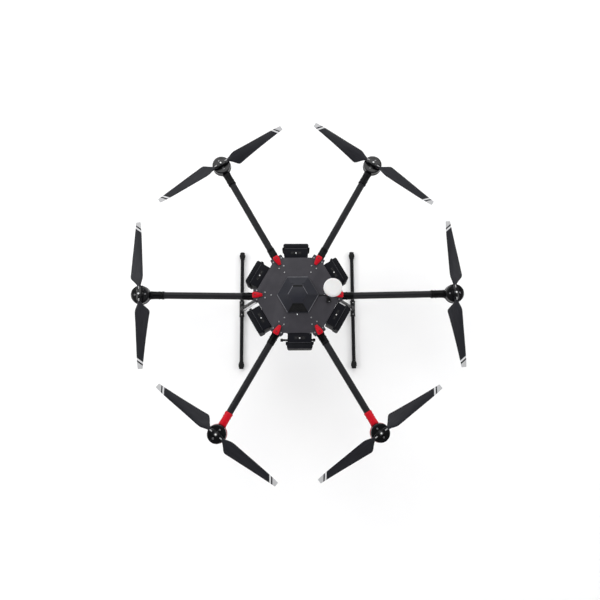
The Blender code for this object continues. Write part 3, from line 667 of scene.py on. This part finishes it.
def payload():
    """Payload plate on damped posts, with its two accessory rails and end bars."""
    holes = [(x, y) for x in (-28, 0, 28) for y in (-60, -30, 30, 60)]
    form = Form().add(SHEET, plate(rounded(corners((-80, -80), (80, 80)), 8), 0, 4, 0.4))
    for x, y in holes:
        form.add(DARK_STEEL, lathe([(3.2, 4.5), (5.6, 4.5), (6, 4.1), (6, -0.1), (5.6, -0.3), (3.2, -0.3)],
            24, (x, y, 0)))
        form.add(NEAR_BLACK_AND_PAINTED_SHADE, lathe([(0, 4.2), (3.3, 4.2), (3.3, -0.2), (0, -0.2)], 16, (x, y, 0)))
    low = box("lower_plate")[0].z
    rail, bar, level = 34, 150.5, 14
    for x in (-rail, rail):
        form.add(SKID, rod((x, -bar - 6.3, level), (x, bar + 6.3, level), 5.2, 28, 0.8))
        for y in (-60, 60):
            form.add(BLACK, block((x - 9, y - 10, 4), (x + 9, y + 10, 21.5), 1.4, 3))
            form.add(DARK_STEEL, rod((x, y, 21), (x, y, low - GAP), 5.2, 24))
            rings = [(0, 22.2)]
            for k in range(4):
                z = 22.5 + 4.3 * k
                rings += [(7.2, z), (8.8, z + 1), (9, z + 2), (8.8, z + 3), (7.2, z + 4)]
            form.add(RUBBER, lathe([*rings, (0, 40)], 32, (x, y, 0)))
            for offset in (-6.5, 6.5):
                form.add(STEEL, screw((x + offset, y - 7.5, 21.5), UP, 1.7, 1.2))
    for y in (-bar, bar):
        form.add(SKID, rod((-64, y, level), (64, y, level), 4, 24))
        for side in (-1, 1):
            form.add(RUBBER, lathe([(0, 0), (5.2, 0), (6, 0.8), (6, 3), (5.4, 3.8), (6, 4.6), (6, 8.2),
                (5, 9.5), (0, 9.5)], 28, (side * 57.5, y, level), (side, 0, 0)))
            form.add(BLACK, block((side * rail - 7, y - 6.2, level - 5.8), (side * rail + 7, y + 6.2,
                level + 5.8), 1.6, 3))
    put("payload_carrier", form, "airframe", ["payload_mount"])


def avionics():
    """Flight controller under the cover and the power board between the plates."""
    low = DECK_TOP + GAP
    form = Form().add(BLACK, block((-31, -22, low + 2.5), (31, 22, low + 17), 1.5, 3))
    form.add(RUBBER, block((-34, -25, low), (34, 25, low + 3), 0.8))
    for side in (-1, 1):
        for k in range(6):
            x = -22.5 + 9 * k
            form.add(WHITE, block((x - 3.4, side * 21.5, low + 6), (x + 3.4, side * 22.8, low + 12), 0.4))
    put("flight_computer", form, "airframe", ["flight_controller"])

    low = box("power_board")[0].z
    form = Form().add(BOARD, block((-60, -60, low), (60, 60, low + 2), 0.3))
    form.add(BLACK, block((-35, -20, low + 1.8), (35, 20, low + 14), 1.2))
    for angle in SIXTHS:
        spot = polar(46, angle + 30, low + 1.8)
        form.add(STEEL, rod(spot, spot + Vector((0, 0, 10)), 4.5, 24, 0.8))
        spot = polar(52, angle + 8, low + 1.8)
        form.add(COPPER, block(spot - Vector((3, 3, 0)), spot + Vector((3, 3, 2.2)), 0.4))
        spot = polar(49, angle + 50, low + 1.8)
        form.add(BLACK, block(spot - Vector((4, 3, 0)), spot + Vector((4, 3, 1.8)), 0.3))
    put("power_hub", form, "airframe", ["power_board"])


# ---- arms and motors
def arm_mesh(span):
    """Carbon tube; its local X runs outward from the fold axis."""
    return Form().add(TUBE, rod((40, 0, 0), (span - 38, 0, 0), TUBE_RADIUS, 40, 0.5,
        TUBE_BORE)).mesh("arm_tube")


def knuckle_mesh():
    """Root sleeve: hinge barrel, neck, ribbed sleeve and its end collar."""
    form = Form()
    form.add(GLOSS, lathe(mirrored([(5.2, 1), (9.8, 1), (10.4, 0), (13.8, 0), (15, 1.2)], 31), 40,
        (0, -15.5, 0), (0, 1, 0)))
    form.add(DARK_STEEL, lathe([(4.2, 0), (6.2, 0), (6.2, 30.6), (4.2, 30.6)], 24, (0, -15.3, 0),
        (0, 1, 0)))
    form.add(GLOSS, lathe([(0, 7), (13.5, 7), (14.7, 10), (14.7, 16), (14, 20), (14, 44), (13.7, 44.5),
        (13.7, 45.3), (14, 45.8), (14, 54), (13.4, 55), (12.9, 55), (12.9, 52), (0, 52)], 48, ORIGIN,
        (1, 0, 0)))
    form.add(GLOSS, block((22, -3.5, -15), (40, 3.5, -13), 0.8))
    for side in (-1, 1):
        form.add(DARK_STEEL, screw((50, side * 9.8, -9.8), (0, side, -1), 2, 1.2))
        form.add(DARK_STEEL, screw((30, side * 13.8, 0), (0, side, 0), 2.2, 1.2))
    return form.mesh("root_sleeve")


def mount_mesh(finish, name, rise):
    """Motor base with its sloping tube socket; the origin is where the tube's axis meets the motor's."""
    along = Vector((math.cos(rise), 0, math.sin(rise)))
    form = Form()
    form.add(finish, lathe([(0, -14.6), (9, -14.6), (9.6, -16), (29, -16), (32.5, -14.8), (34.3, -11.2),
        (34.5, -8), (34.5, -4.2), (34, -3.6), (30, -3.6), (28.6, -5.6), (0, -5.6)], 72))
    # Painted highlight: on black mounts a pale grey ring on the cup's lip stands for the light caught along
    # its rim.
    form.add(SCREW_GREY_AND_LIP_HIGHLIGHT if finish is GLOSS else finish, lathe([(33, -4.2), (33, -3.4), (33.7, -3.4), (34.1, -4)],
        72))
    form.add(finish, lathe([(0, 12), (12.9, 12), (12.9, 0), (14.2, 0), (14.8, 0.8), (14.8, 8), (14.2, 8.8),
        (14, 11.8), (14, 40), (0, 40)], 44, along * -83, along))
    neck = []
    for x, half, high, low in ((-54, 13.9, 13.9, 13.9), (-47, 14.1, 13.8, 14.2), (-40, 14.5, 13.2, 14.6),
            (-35.3, 15.1, 12.2, 14.8)):
        loop = []
        for k in range(40):
            turn = math.tau * k / 40
            up = math.sin(turn)
            loop.append((x, half * math.copysign(abs(math.cos(turn)) ** 0.85, math.cos(turn)),
                x * math.tan(rise) + (high if up > 0 else low) * math.copysign(abs(up) ** 0.9, up)))
        neck.append(loop)
    form.add(finish, loft(neck, 0.4))
    saddle = [[(x, -half, -15.2), (x, half, -15.2), (x, half * 1.06, -4.6), (x, -half * 1.06, -4.6)]
        for x, half in ((-40, 10.4), (-34.5, 12.8), (-25, 18))]
    form.add(finish, loft(saddle, 0.6))
    for k in range(12):
        form.add(finish, turned(block((10.5, -0.9, -16.6), (27.5, 0.9, -15.6), 0.3), 30 * k))
    out = Vector((along.z, 0, -along.x))
    for distance in (74, 62):
        form.add(STEEL, screw(along * -distance + out * 13.9, out, 2.2, 1.3))
    for side in (-1, 1):
        form.add(DARK_STEEL, screw(along * -66 + Vector((0, side * 13.8, 0)), (0, side, 0), 2.2, 1.3))
    for k in range(4):
        at = polar(17.5, 45 + 90 * k, -16)
        form.add(STEEL, screw(at, DOWN, 2.2, 1))
    return form.mesh(name)


def stator_mesh():
    """Laminated core with twelve wound teeth, inside the bell."""
    form = Form().add(DARK_STEEL, lathe([(0, -5.8), (13, -5.8), (13, 9.2), (0, 9.2)], 32))
    for k in range(12):
        form.add(DARK_STEEL, turned(block((22.5, -5, -2), (24.8, 5, 9.6), 0.6), 30 * k))
        form.add(COPPER, turned(block((12, -3.4, -3), (22.2, 3.4, 10.3), 1.2), 30 * k))
    return form.mesh("stator")


def bell_mesh():
    """Motor bell with pockets between its spokes; the propeller line is local X."""
    profile = [(4.6, 11.5), (29.3, 11.5), (29.3, -2.1), (33, -2.5), (33.5, -1.9), (33.5, 0.6), (32.9, 1.2),
        (32.9, 2.2), (33.5, 2.8), (33.5, 13.2), (33.1, 14.4), (32, 15), (26.2, 15), (12.5, 15),
        (10.5, 15.4), (4.6, 15.4)]
    bm = lathe(profile, 72)
    pockets = {}
    for face in bm.faces:
        middle = face.calc_center_median()
        reach = math.hypot(middle.x, middle.y) / MM
        if face.normal.z > 0.99 and 13 < reach < 26:
            bearing = (math.degrees(math.atan2(middle.y, middle.x)) + 30) % 360
            if 9 < bearing % 60 < 51:
                pockets.setdefault(bearing // 60, []).append(face)
    for faces in pockets.values():
        bmesh.ops.inset_region(bm, faces=faces, thickness=0.4 * MM, depth=0.0)
        bmesh.ops.inset_region(bm, faces=faces, thickness=0.3 * MM, depth=-1.2 * MM)
    form = Form().add(BELL, bm)
    for side in (-1, 1):
        form.add(SCREW_GREY_AND_LIP_HIGHLIGHT, screw((0, side * 18, 14.6), UP, 3.4, 1.8))
    return form.mesh("bell")


def hub_mesh(plane):
    """Shaft, propeller clamp bars with pale bars of painted highlight, fold bolts and the bright centre nut,
    for blades at a height.
    """
    def bar(low, high, half, width):
        points = [(side * (half - width) + side * width * math.cos(a), side * width * math.sin(a))
            for side in (1, -1) for a in [math.pi * (k / 8 - 0.5) for k in range(9)]]
        return plate(points, low, high, 0.5)

    low, high = plane - BLADE_HALF - GAP, plane + BLADE_HALF + GAP
    form = Form().add(BELL, lathe([(0, 14.5), (9.6, 14.5), (9.6, 15.8), (8, 16.6), (8, low - 1.6),
        (0, low - 1.6)], 32))
    form.add(DARK_STEEL, lathe([(0, -9.8), (3.8, -9.8), (3.8, 15.6), (0, 15.6)], 20))
    form.add(BELL, bar(low - 2.6, low, 28, 8), bar(high, high + 2.4, 28, 8))
    form.add(BELL, rod((0, 0, low - 0.5), (0, 0, high + 1), 5.8, 24))
    form.add(DARK_STEEL, lathe([(0, high + 2), (7.2, high + 2), (7.2, high + 2.8), (6.6, high + 3.2),
        (0, high + 3.2)], 32))
    tip = high + 9.5
    form.add(DARK_STEEL, closed(lathe([(0, tip - 2), (4.4, tip - 2), (5.2, tip - 3.2), (5.2, high + 2.8),
        (0, high + 2.8)], 6), 0.4, 2, 25.0))
    form.add(WHITE, lathe([(0, tip), (2.4, tip - 0.2), (3.3, tip - 1), (3.3, tip - 2.4), (0, tip - 2.4)],
        24))
    for side in (-1, 1):
        x = side * BLADE_PIN
        form.add(DARK_STEEL, lathe([(0, high + 4.4), (3.1, high + 4.4), (3.7, high + 3.8), (3.7, high + 2),
            (0, high + 2)], 20, (x, 0, 0)))
        form.add(DARK_STEEL, rod((x, 0, low - 4), (x, 0, high + 2.4), 2, 16))
        # Painted highlight: a pale bar on the upper clamp beside each fold bolt stands for the highlight
        # along the clamp.
        form.add(CLAMP_HIGHLIGHT_GREY, block((side * 17, -1.6, high + 2), (side * 26.8, 1.6, high + 5), 0.6))
    return form.mesh("propeller_hub")


# Distance from the rotor's axis, leading and trailing reach, pitch in degrees, thickness.
BLADE_STATIONS = (
    (26.2, 6, 6.4, 3, 6.6), (33, 6.6, 8.5, 7, 6.2), (40, 8.4, 14, 12, 5.8), (47, 11, 21, 17, 5.2),
    (54, 13.4, 28.2, 18.5, 4.8), (60, 14.8, 32.5, 19, 4.5), (66, 15.4, 33.3, 18.6, 4.3),
    (72, 15.5, 32.5, 18, 4.2), (90, 15.1, 29.8, 15.7, 3.9), (130, 14, 24.5, 12, 3.4),
    (165, 13.3, 19.8, 9.8, 3), (200, 12.5, 15.5, 8, 2.6), (230, 11.4, 12.1, 6.8, 2.2),
    (250, 10, 9.6, 6, 1.9), (260, 9.2, 8.8, 6, 1.6), (264.5, 8.6, 8.3, 6, 1.3), (265.8, 8, 7.8, 6, 1),
    (266.5, 6.8, 6.6, 6, 0.7),
)


def blade_mesh(hand):
    """Folding blade along local X from its fold axis, leading edge on hand's side."""
    steps = 12
    loops = []
    dense = []
    for near, far in zip(BLADE_STATIONS, BLADE_STATIONS[1:]):
        parts = max(1, round((far[0] - near[0]) / 8))
        for k in range(parts):
            dense.append([a + (b - a) * k / parts for a, b in zip(near, far)])
    dense.append(BLADE_STATIONS[-1])
    for reach, lead, trail, pitch, thick in dense:
        chord = lead + trail
        slope = math.tan(math.radians(pitch))
        loop = []
        for k in range(2 * steps):
            share = 0.5 - 0.5 * math.cos(math.pi * (k if k <= steps else 2 * steps - k) / steps)
            body = (0.2969 * math.sqrt(share) - 0.126 * share - 0.3516 * share ** 2 + 0.2843 * share ** 3
                - 0.098 * share ** 4) * 10 * 0.5
            camber = 0.22 * math.sin(math.pi * share)
            across = lead - share * chord
            lift = camber + (1 if k <= steps else -0.85) * body * 0.62
            loop.append((reach - BLADE_PIN, hand * across, across * slope + lift * thick))
        loops.append(loop)
    form = Form().add(BLADES[hand], loft(loops))
    form.add(BLADES[hand], lathe([(2.7, -BLADE_HALF), (7.4, -BLADE_HALF), (8, -3.1), (8, 3.1),
        (7.4, BLADE_HALF), (2.7, BLADE_HALF)], 32))
    return form.mesh("blade_" + ("plus" if hand > 0 else "minus"), 60.0)


def lock_mesh():
    """Arm lock lever on a round foot, tapering towards the hub, with a pressed crown and grip grooves."""
    lift = 1.8
    loops = []
    for x, half, high in ((-26.5, 4, 3.6), (-25.5, 5.2, 5.2), (-20, 6.8, 7), (-12, 9, 8.6), (-4, 10.7, 9.5),
            (3, 11.2, 9.8), (7.5, 11, 9.4), (10, 8.6, 8)):
        rise = [(x, half, lift), (x, half, high * 0.55), (x, half * 0.86, high * 0.86),
            (x, half * 0.55, high * 0.97)]
        loops.append([*rise, (x, 0, high), *((x, -y, z) for x, y, z in reversed(rise))])
    form = Form().add(RED, loft(loops, 0.5))
    form.add(RED, lathe([(3, 0), (8.2, 0), (8.6, 0.4), (8.6, 3), (3, 3)], 32))
    for x in (-21.5, -18, -14.5):
        share = (x + 26.5) / 26.5
        half = 4 + 6 * share
        high = 5.8 + 4.2 * share
        form.add(RED, block((x - 0.6, -half * 0.7, high - 1.4), (x + 0.6, half * 0.7, high + 0.6), 0.3))
    form.add(DARK_STEEL, lathe([(0, 9.2), (1.4, 9.2), (1.7, 10), (3, 10.2), (3.4, 9.4), (3.4, 8), (0, 8)],
        20))
    return form.mesh("lock_lever")


def arms():
    """Arms with their motors, propellers and locks."""
    root, motor = pivot("arm_fold_left"), pivot("rotor_spin_left")
    rise = math.atan2(motor.z - root.z, motor.x - root.x)
    tube, knuckle, stator, bell, lock = (arm_mesh((motor - root).length), knuckle_mesh(), stator_mesh(),
        bell_mesh(), lock_mesh())
    hub = hub_mesh(pivot("blade_fold_left_a").z - motor.z)
    blades = {hand: blade_mesh(hand) for hand in (-1, 1)}
    mounts = {finish: mount_mesh(finish, name, rise)
        for finish, name in ((GLOSS, "mount_black"), (RED, "mount_red"))}
    for name in ARM_NAMES:
        root, motor = pivot("arm_fold_" + name), pivot("rotor_spin_" + name)
        angle = math.degrees(math.atan2(root.y, root.x))
        fold = pivot("blade_fold_" + name + "_a")
        line = math.degrees(math.atan2(fold.y - motor.y, fold.x - motor.x))
        hand = 1 if round(angle / 60) % 2 == 0 else -1
        at_motor, at_rotor = frame_at(motor, angle), frame_at(motor, line)
        at_root = frame_at(root, angle) @ Matrix.Rotation(-rise, 4, "Y")
        finish, slot = (RED, "red_moulding") if name.startswith("front") else (GLOSS, "black_moulding")
        arm, rotor = "arm_" + name, "rotor_" + name
        put("tube_" + name, tube, arm, ["arm_" + name], at_root)
        put("root_sleeve_" + name, knuckle, arm, matrix=at_root)
        put("mount_" + name, mounts[finish], arm, ["motor_mount_" + name], at_motor)
        put("stator_" + name, stator, arm, matrix=at_motor)
        put("bell_" + name, bell, rotor, ["rotor_" + name], at_rotor)
        put("hub_" + name, hub, rotor, matrix=at_rotor)
        for end, turn in (("a", 0), ("b", 180)):
            node = "blade_" + name + "_" + end
            at = pivot("blade_fold_" + name + "_" + end)
            put("airfoil_" + name + "_" + end, blades[hand], node, [node], frame_at(at, line + turn))
        put("lock_lever_" + name, lock, "arm_lock_" + name, ["arm_lock_" + name],
            frame_at(pivot("lock_turn_" + name), angle))


# ---- batteries
def battery_mesh():
    """Battery with local X away from the hub: inner cell block, ridge with a strip of painted highlight,
    outer shell, side clips.
    """
    def outline(near, far, half, cut):
        return rounded(corners((near, -half), (far, half)), [1.5, cut, cut, 1.5], 5)

    low, top = (corner.z for corner in box("battery_rear"))
    form = Form()
    form.add(PACK, plate(outline(139.5, 173.5, 43.5, 1.5), low, top - 2.4, 0.6, 2))
    form.add(PACK_TOP, plate(outline(139.5, 173.5, 43.5, 1.5), top - 3.4, top - 0.4, 1.2, 3))
    form.add(PACK, plate(outline(172.2, 193.5, 46.5, 6.5), low, top - 4.4, 2.2, 3))
    form.add(PACK, plate(outline(171.6, 175.2, 42.5, 1), top - 6, top, 0.8, 3))
    # Painted highlight: a thin grey strip along the top of the ridge.
    form.add(DIM_HIGHLIGHT_AND_LED_GREY, block((173.4, -40.5, top - 0.6), (174.3, 40.5, top + 0.1), 0.2))
    form.add(PACK, plate(outline(179, 188, 38, 3), top - 6, top - 3.4, 0.8, 2))
    for side in (-1, 1):
        clip = corners((170, side * 42), (179, side * 50.5))
        if side < 0:
            clip.reverse()
        form.add(PACK, plate(rounded(clip, [0.5, 0.5, 3, 3]), 100, top - 5.5, 1, 2))
        for k in range(5):
            z = 112 + 7.5 * k
            form.add(PACK, block((172.2, side * 49.7, z), (176.8, side * 50.8, z + 2.2), 0.4))
    for k in range(7):
        y = -30 + 10 * k
        form.add(PACK, block((192.6, y - 1.8, low + 12), (193.7, y + 1.8, top - 24), 0.5))
    form.add(PACK, block((192.6, -33, top - 20), (193.9, 33, top - 12), 0.6))
    form.add(NEAR_BLACK_AND_PAINTED_SHADE, plate(outline(151.5, 162.5, 20, 2), top - 1.4, top - 0.05, 0.3))
    form.add(PACK, lathe([(4.6, -2.6), (4.6, 0), (5, 0.4), (5.8, 0.4), (6.2, 0), (6.2, -2.6)], 32,
        (BUTTON_REACH, 0, top - 0.4)))
    for y in (-16, -12, 12, 16):
        form.add(DIM_HIGHLIGHT_AND_LED_GREY, block((155.2, y - 0.5, top - 1), (158.8, y + 0.5, top + 0.15), 0.2))
    return form.mesh("battery_shell")


def batteries():
    """Batteries with their power buttons."""
    shell = battery_mesh()
    button = Form().add(PACK, lathe([(2.4, 0), (4, 0), (4, 1.5), (3.7, 1.9), (2.6, 2), (2.4, 1.8)], 32))
    button.add(WHITE, lathe([(0, 0), (2.4, 0), (2.4, 1.8), (2.1, 1.8), (1.8, 1.7), (0, 1.7)], 32))
    button = button.mesh("power_button")
    for index, name in enumerate(BATTERY_NAMES):
        low, high = box("power_button_" + name)
        angle = 30 + 60 * index
        middle = Vector(((low.x + high.x) / 2, (low.y + high.y) / 2, low.z))
        origin = middle - polar(BUTTON_REACH, angle, low.z)
        put("battery_shell_" + name, shell, "battery_" + name, ["battery_" + name],
            frame_at(origin, angle))
        put("button_cap_" + name, button, "power_button_" + name, ["power_button_" + name],
            frame_at(middle, angle))


# ---- landing gear
def landing_gear(side, name):
    """Leg, tee, skid, rubber feet and the antenna leads clipped along the leg."""
    gear = "landing_gear_" + name
    hinge = pivot("gear_retract_" + name)
    spread, drop = side * GEAR_SPREAD, FLOOR + FOOT_RADIUS - hinge.z
    foot = Vector((spread, 0, drop))
    along = foot.normalized()
    form = Form()
    form.add(BLACK, lathe(mirrored([(4.8, 0), (10, 0), (11, 1)], 17), 36, (0, -8.5, 0), (0, 1, 0)))
    form.add(BLACK, lathe([(0, 8), (8.2, 8), (9.4, 15), (10, 18), (10, 36), (9.4, 36.6), (9.4, 37.6),
        (10.4, 38.4), (10.4, 44), (9.6, 45), (0, 45)], 36, ORIGIN, along))
    out = Vector((along.z, 0, -along.x)) * (-1 if side > 0 else 1)
    form.add(STEEL, screw(along * 27.5 + out * 9.8, out, 2.2, 1.3))
    reach = foot.length
    form.add(BLACK, lathe([(0, 0), (10.2, 0), (10.9, 0.8), (10.9, 7), (10.3, 7.8), (10.3, 9), (10.7, 9.8),
        (10.7, 56), (0, 56)], 36, along * (reach - 55), along))
    form.add(BLACK, lathe(mirrored([(0, 0), (10.2, 0), (11.2, 1), (11.2, 8), (10.5, 9)], 72), 36,
        (spread, -36, drop), (0, 1, 0)))
    for y in (-26, 26):
        form.add(STEEL, screw((spread, y, drop + 10.4), UP, 2.4, 1.4))
    for distance in (12, 34):
        form.add(STEEL, screw(along * (reach - 55 + distance) - Vector((0, 10.6, 0)), (0, -1, 0), 2, 1.2))
    put("gear_joints_" + name, form, gear, [gear], shift(hinge))

    leg = Form().add(SKID, rod((0, 0, 40), (0, 0, reach - 20), LEG_RADIUS, 32, 0.5, LEG_BORE))
    turn = along.to_track_quat("Z", "Y").to_matrix().to_4x4()
    put("leg_tube_" + name, leg, gear, matrix=shift(hinge) @ turn)
    front, rear = (corner.y for corner in box(gear))
    skid = Form().add(SKID, rod((0, 0, 6), (0, 0, rear - front - 6), LEG_RADIUS, 32, 0.5, LEG_BORE))
    lay = Vector((0, 1, 0)).to_track_quat("Z", "Y").to_matrix().to_4x4()
    put("skid_tube_" + name, skid, gear, matrix=shift((hinge.x + spread, front, hinge.z + drop))
        @ lay)
    cap = [(0, 0), (7.8, 0), (9.8, 1.4), (10.2, 4), (10.2, 7.2), (11.2, 9.6), (12.9, 12), (13, 13.8),
        (12.2, 15), (12.2, 16), (13, 17.2), (13, 19.8), (11.8, 22.6), (10, 30), (9.2, 32), (0, 32)]
    feet = Form()
    for y, toward in ((front, 1), (rear, -1)):
        feet.add(RUBBER, lathe(cap, 40, (0, y, 0), (0, toward, 0)))
    put("skid_feet_" + name, feet, gear, matrix=shift((hinge.x + spread, 0, hinge.z + drop)))

    leads = Form()
    run = reach - 80
    ahead = Vector((0, -1, 0))

    def sides(share):
        # The leads leave the hub on the leg's outer side, clear of a folded arm, and come round to its front.
        eased = min(1.0, max(0.0, (share - 0.12) / 0.22))
        turn = math.radians(80) * (1 - eased * eased * (3 - 2 * eased))
        return (ahead * math.cos(turn) + out * math.sin(turn),
            out * math.cos(turn) - ahead * math.sin(turn), math.cos(turn))

    for strand in range(4):
        points = []
        for k in range(21):
            share = k / 20
            toward, beside, front_share = sides(share)
            swell = 0.8 + 1.8 * math.sin(math.pi * share) ** 0.8
            twist = math.tau * (strand / 4 + share * 1.5)
            points.append(along * (30 + run * share) + toward * (9.8 + swell - math.cos(twist) * swell)
                + beside * (3 * front_share + math.sin(twist) * (swell + 1)))
        leads.add(SHEATH, cable(points, 1.4, 8, 4))
    for share in (0.04, 0.36, 0.68, 0.97):
        toward, beside, _ = sides(share)
        centre = along * (30 + run * share) + toward * 3
        spokes = [polar(1, 360 * k / 28) for k in range(28)]
        outline = [centre + beside * 8.8 * spoke.x + toward * 11.8 * spoke.y for spoke in spokes]
        inner = [centre + (point - centre) * 0.91 for point in outline]
        width = along * 2
        leads.add(BLACK, loft([[p - width for p in outline], [p + width for p in outline],
            [p + width for p in inner], [p - width for p in inner]], 0, 2, True))
    put("antenna_leads_" + name, leads, gear, matrix=shift(hinge))


# ---- satellite receiver
def receiver():
    """Folding mast with its clamp, cable and round receiver."""
    hinge = pivot("mast_fold")
    low = DECK_TOP + GAP
    x, y = hinge.x, hinge.y
    form = Form().add(BLACK, plate(rounded(corners((x - 9, y - 10), (x + 9, y + 10)), 3), low, low + 5, 0.8))
    for side in (-1, 1):
        outline = rounded(corners((x - 6.5, low + 4), (x + 6.5, hinge.z + 6)), [0.6, 0.6, 5.5, 5.5])
        form.add(BLACK, upright(outline, y + side * 5.3, y + side * 8.5, 0.5))
        form.add(STEEL, screw((x, y + side * 8.5, hinge.z), (0, side, 0), 3, 1.4))
    form.add(DARK_STEEL, rod((x, y - 7.5, hinge.z), (x, y + 7.5, hinge.z), 1.8, 16))
    z = low + 2
    form.add(RUBBER, cable([(72, -2.2, z + 1), (79, -2.2, z), (87, -1, z - 0.2), (95, -1.4, z - 0.2),
        (102, -3.4, z), (105, -8, z + 0.4), (106.2, -12.5, z + 1.2)], 1.7, 12, 5))
    form.add(RUBBER, lathe([(0, 0), (3, 0), (2.7, 6), (2.1, 8.5), (0, 8.5)], 20, (74.5, -2.2, z + 0.4),
        (1, 0, 0)))
    put("mast_clamp", form, "airframe", ["gps_base"])

    top = box("gps_mast")[1].z - hinge.z
    mast = Form().add(SKID, rod((0, 0, 2), (0, 0, top - 4), 4, 28, 0.4))
    mast.add(BLACK, lathe(mirrored([(2.1, 0), (4.4, 0), (5.2, 0.8)], 9.6), 28, (0, -4.8, 0), (0, 1, 0)))
    mast.add(BLACK, lathe([(0, 6), (5, 6), (5.6, 6.8), (5.6, 16), (4.8, 17.2), (0, 17.2)], 28))
    mast.add(BLACK, lathe([(0, top - 22), (4.6, top - 22), (5.2, top - 14), (6.6, top - 8), (7, top - 4),
        (7, top), (0, top)], 32))
    put("mast_rod", mast, "gps_mast", ["gps_mast"], shift(hinge))

    low, high = box("gps_module")
    base, peak = low.z - hinge.z, high.z - hinge.z
    rim = (high.x - low.x) / 2
    puck = Form().add(WHITE, lathe([(0, base), (18, base), (20, base + 0.6), (rim - 4, base + 1),
        (rim - 1.2, base + 3), (rim, base + 5.4), (rim, base + 8.2), (rim - 0.5, base + 8.6),
        (rim - 0.5, base + 9), (rim, base + 9.4), (rim - 0.2, peak - 4), (rim - 1.2, peak - 2.2),
        (rim - 3.2, peak - 0.9), (rim - 6, peak - 0.4), (rim - 6.4, peak - 0.8), (rim - 6.8, peak - 0.4),
        (14, peak - 0.1), (0, peak)], 72))
    puck.add(SHEATH, lathe([(0, 0.2), (1, 0.2), (1.2, 0), (1.2, -0.6), (0, -0.6)], 16,
        (19.5, 0, peak - 0.1)))
    for k in range(3):
        puck.add(STEEL, screw(polar(22, 120 * k + 30, base + 0.8), DOWN, 1.6, 0.8))
    put("receiver_puck", puck, "gps_mast", ["gps_module"], shift(hinge), 30.0)


# ---- stage, light and camera
def stage():
    """Plain pale floor."""
    made = Finish("studio_floor", 0.9)
    made.colour(made.clouds(3.0, 2.0, (0.92, 0.92, 0.925), (0.94, 0.94, 0.94)))
    bm = bmesh.new()
    bmesh.ops.create_circle(bm, cap_ends=True, segments=96, radius=3.4, matrix=shift((0, 0, FLOOR - 0.5)))
    mesh = bpy.data.meshes.new("studio_floor")
    bm.to_mesh(mesh)
    bm.free()
    mesh.materials.append(made.material)
    floor = bpy.data.objects.new("studio_floor", mesh)
    bpy.context.scene.collection.objects.link(floor)


def softbox(name, azimuth, elevation, distance, size, power):
    """Square area light aimed at the hub."""
    data = bpy.data.lights.new(name, "AREA")
    data.shape = "SQUARE"
    data.size = size
    data.energy = power
    lamp = bpy.data.objects.new(name, data)
    bpy.context.scene.collection.objects.link(lamp)
    toward = polar(math.cos(math.radians(elevation)), azimuth, math.sin(math.radians(elevation)))
    lamp.location = toward * distance
    lamp.rotation_mode = "QUATERNION"
    lamp.rotation_quaternion = toward.to_track_quat("Z", "Y")


def studio():
    """Pale surroundings, brighter behind the tail and dim overhead, and four soft boxes."""
    scene = bpy.context.scene
    world = bpy.data.worlds.new("studio")
    world.use_nodes = True
    scene.world = world
    tree = world.node_tree
    place = new_node(tree, "ShaderNodeTexCoord").outputs["Generated"]
    axes = new_node(tree, "ShaderNodeSeparateXYZ", {0: place}).outputs
    overhead, tail = (new_node(tree, "ShaderNodeMapRange", {"Value": axes[axis], "From Min": low,
        "From Max": high, "To Min": at_low, "To Max": at_high}).outputs[0] for axis, low, high, at_low,
        at_high in ((2, 0.15, 0.85, 1.0, 0.16), (1, -1.0, 1.0, 0.4, 1.15)))
    glow = new_node(tree, "ShaderNodeMath", {0: overhead, 1: tail}, operation="MULTIPLY").outputs[0]
    seen = new_node(tree, "ShaderNodeLightPath").outputs["Is Camera Ray"]
    strength = new_node(tree, "ShaderNodeMix", {0: seen, 2: glow, 3: 1.0}).outputs[0]
    backdrop = tree.nodes["Background"]
    backdrop.inputs[0].default_value = (1, 1, 1, 1)
    tree.links.new(strength, backdrop.inputs[1])
    softbox("rear_box", 95, 50, 4.2, 4.0, 130.0)
    softbox("left_box", 0, 38, 4.2, 2.0, 50.0)
    softbox("right_box", 180, 40, 4.2, 2.0, 70.0)
    softbox("front_box", 270, 36, 4.2, 2.0, 38.0)
    scene.view_settings.view_transform = "Standard"
    scene.view_settings.look = "None"


def camera():
    """Camera almost straight above, just ahead of the nose."""
    data = bpy.data.cameras.new("camera")
    data.sensor_width = 36.0
    data.lens = 34.0
    data.clip_end = 60.0
    lens = bpy.data.objects.new("camera", data)
    bpy.context.scene.collection.objects.link(lens)
    heading, tilt, roll = (Matrix.Rotation(math.radians(value), 4, axis)
        for value, axis in ((-0.28, "Z"), (9.64, "X"), (-0.435, "Y")))
    lens.matrix_world = Matrix.Translation((-0.0095, -0.3634, 2.1902)) @ heading @ tilt @ roll
    bpy.context.scene.camera = lens


deck()
cover()
centre_frame()
lower_plate()
payload()
avionics()
arms()
batteries()
landing_gear(1, "left")
landing_gear(-1, "right")
receiver()
stage()
studio()
camera()
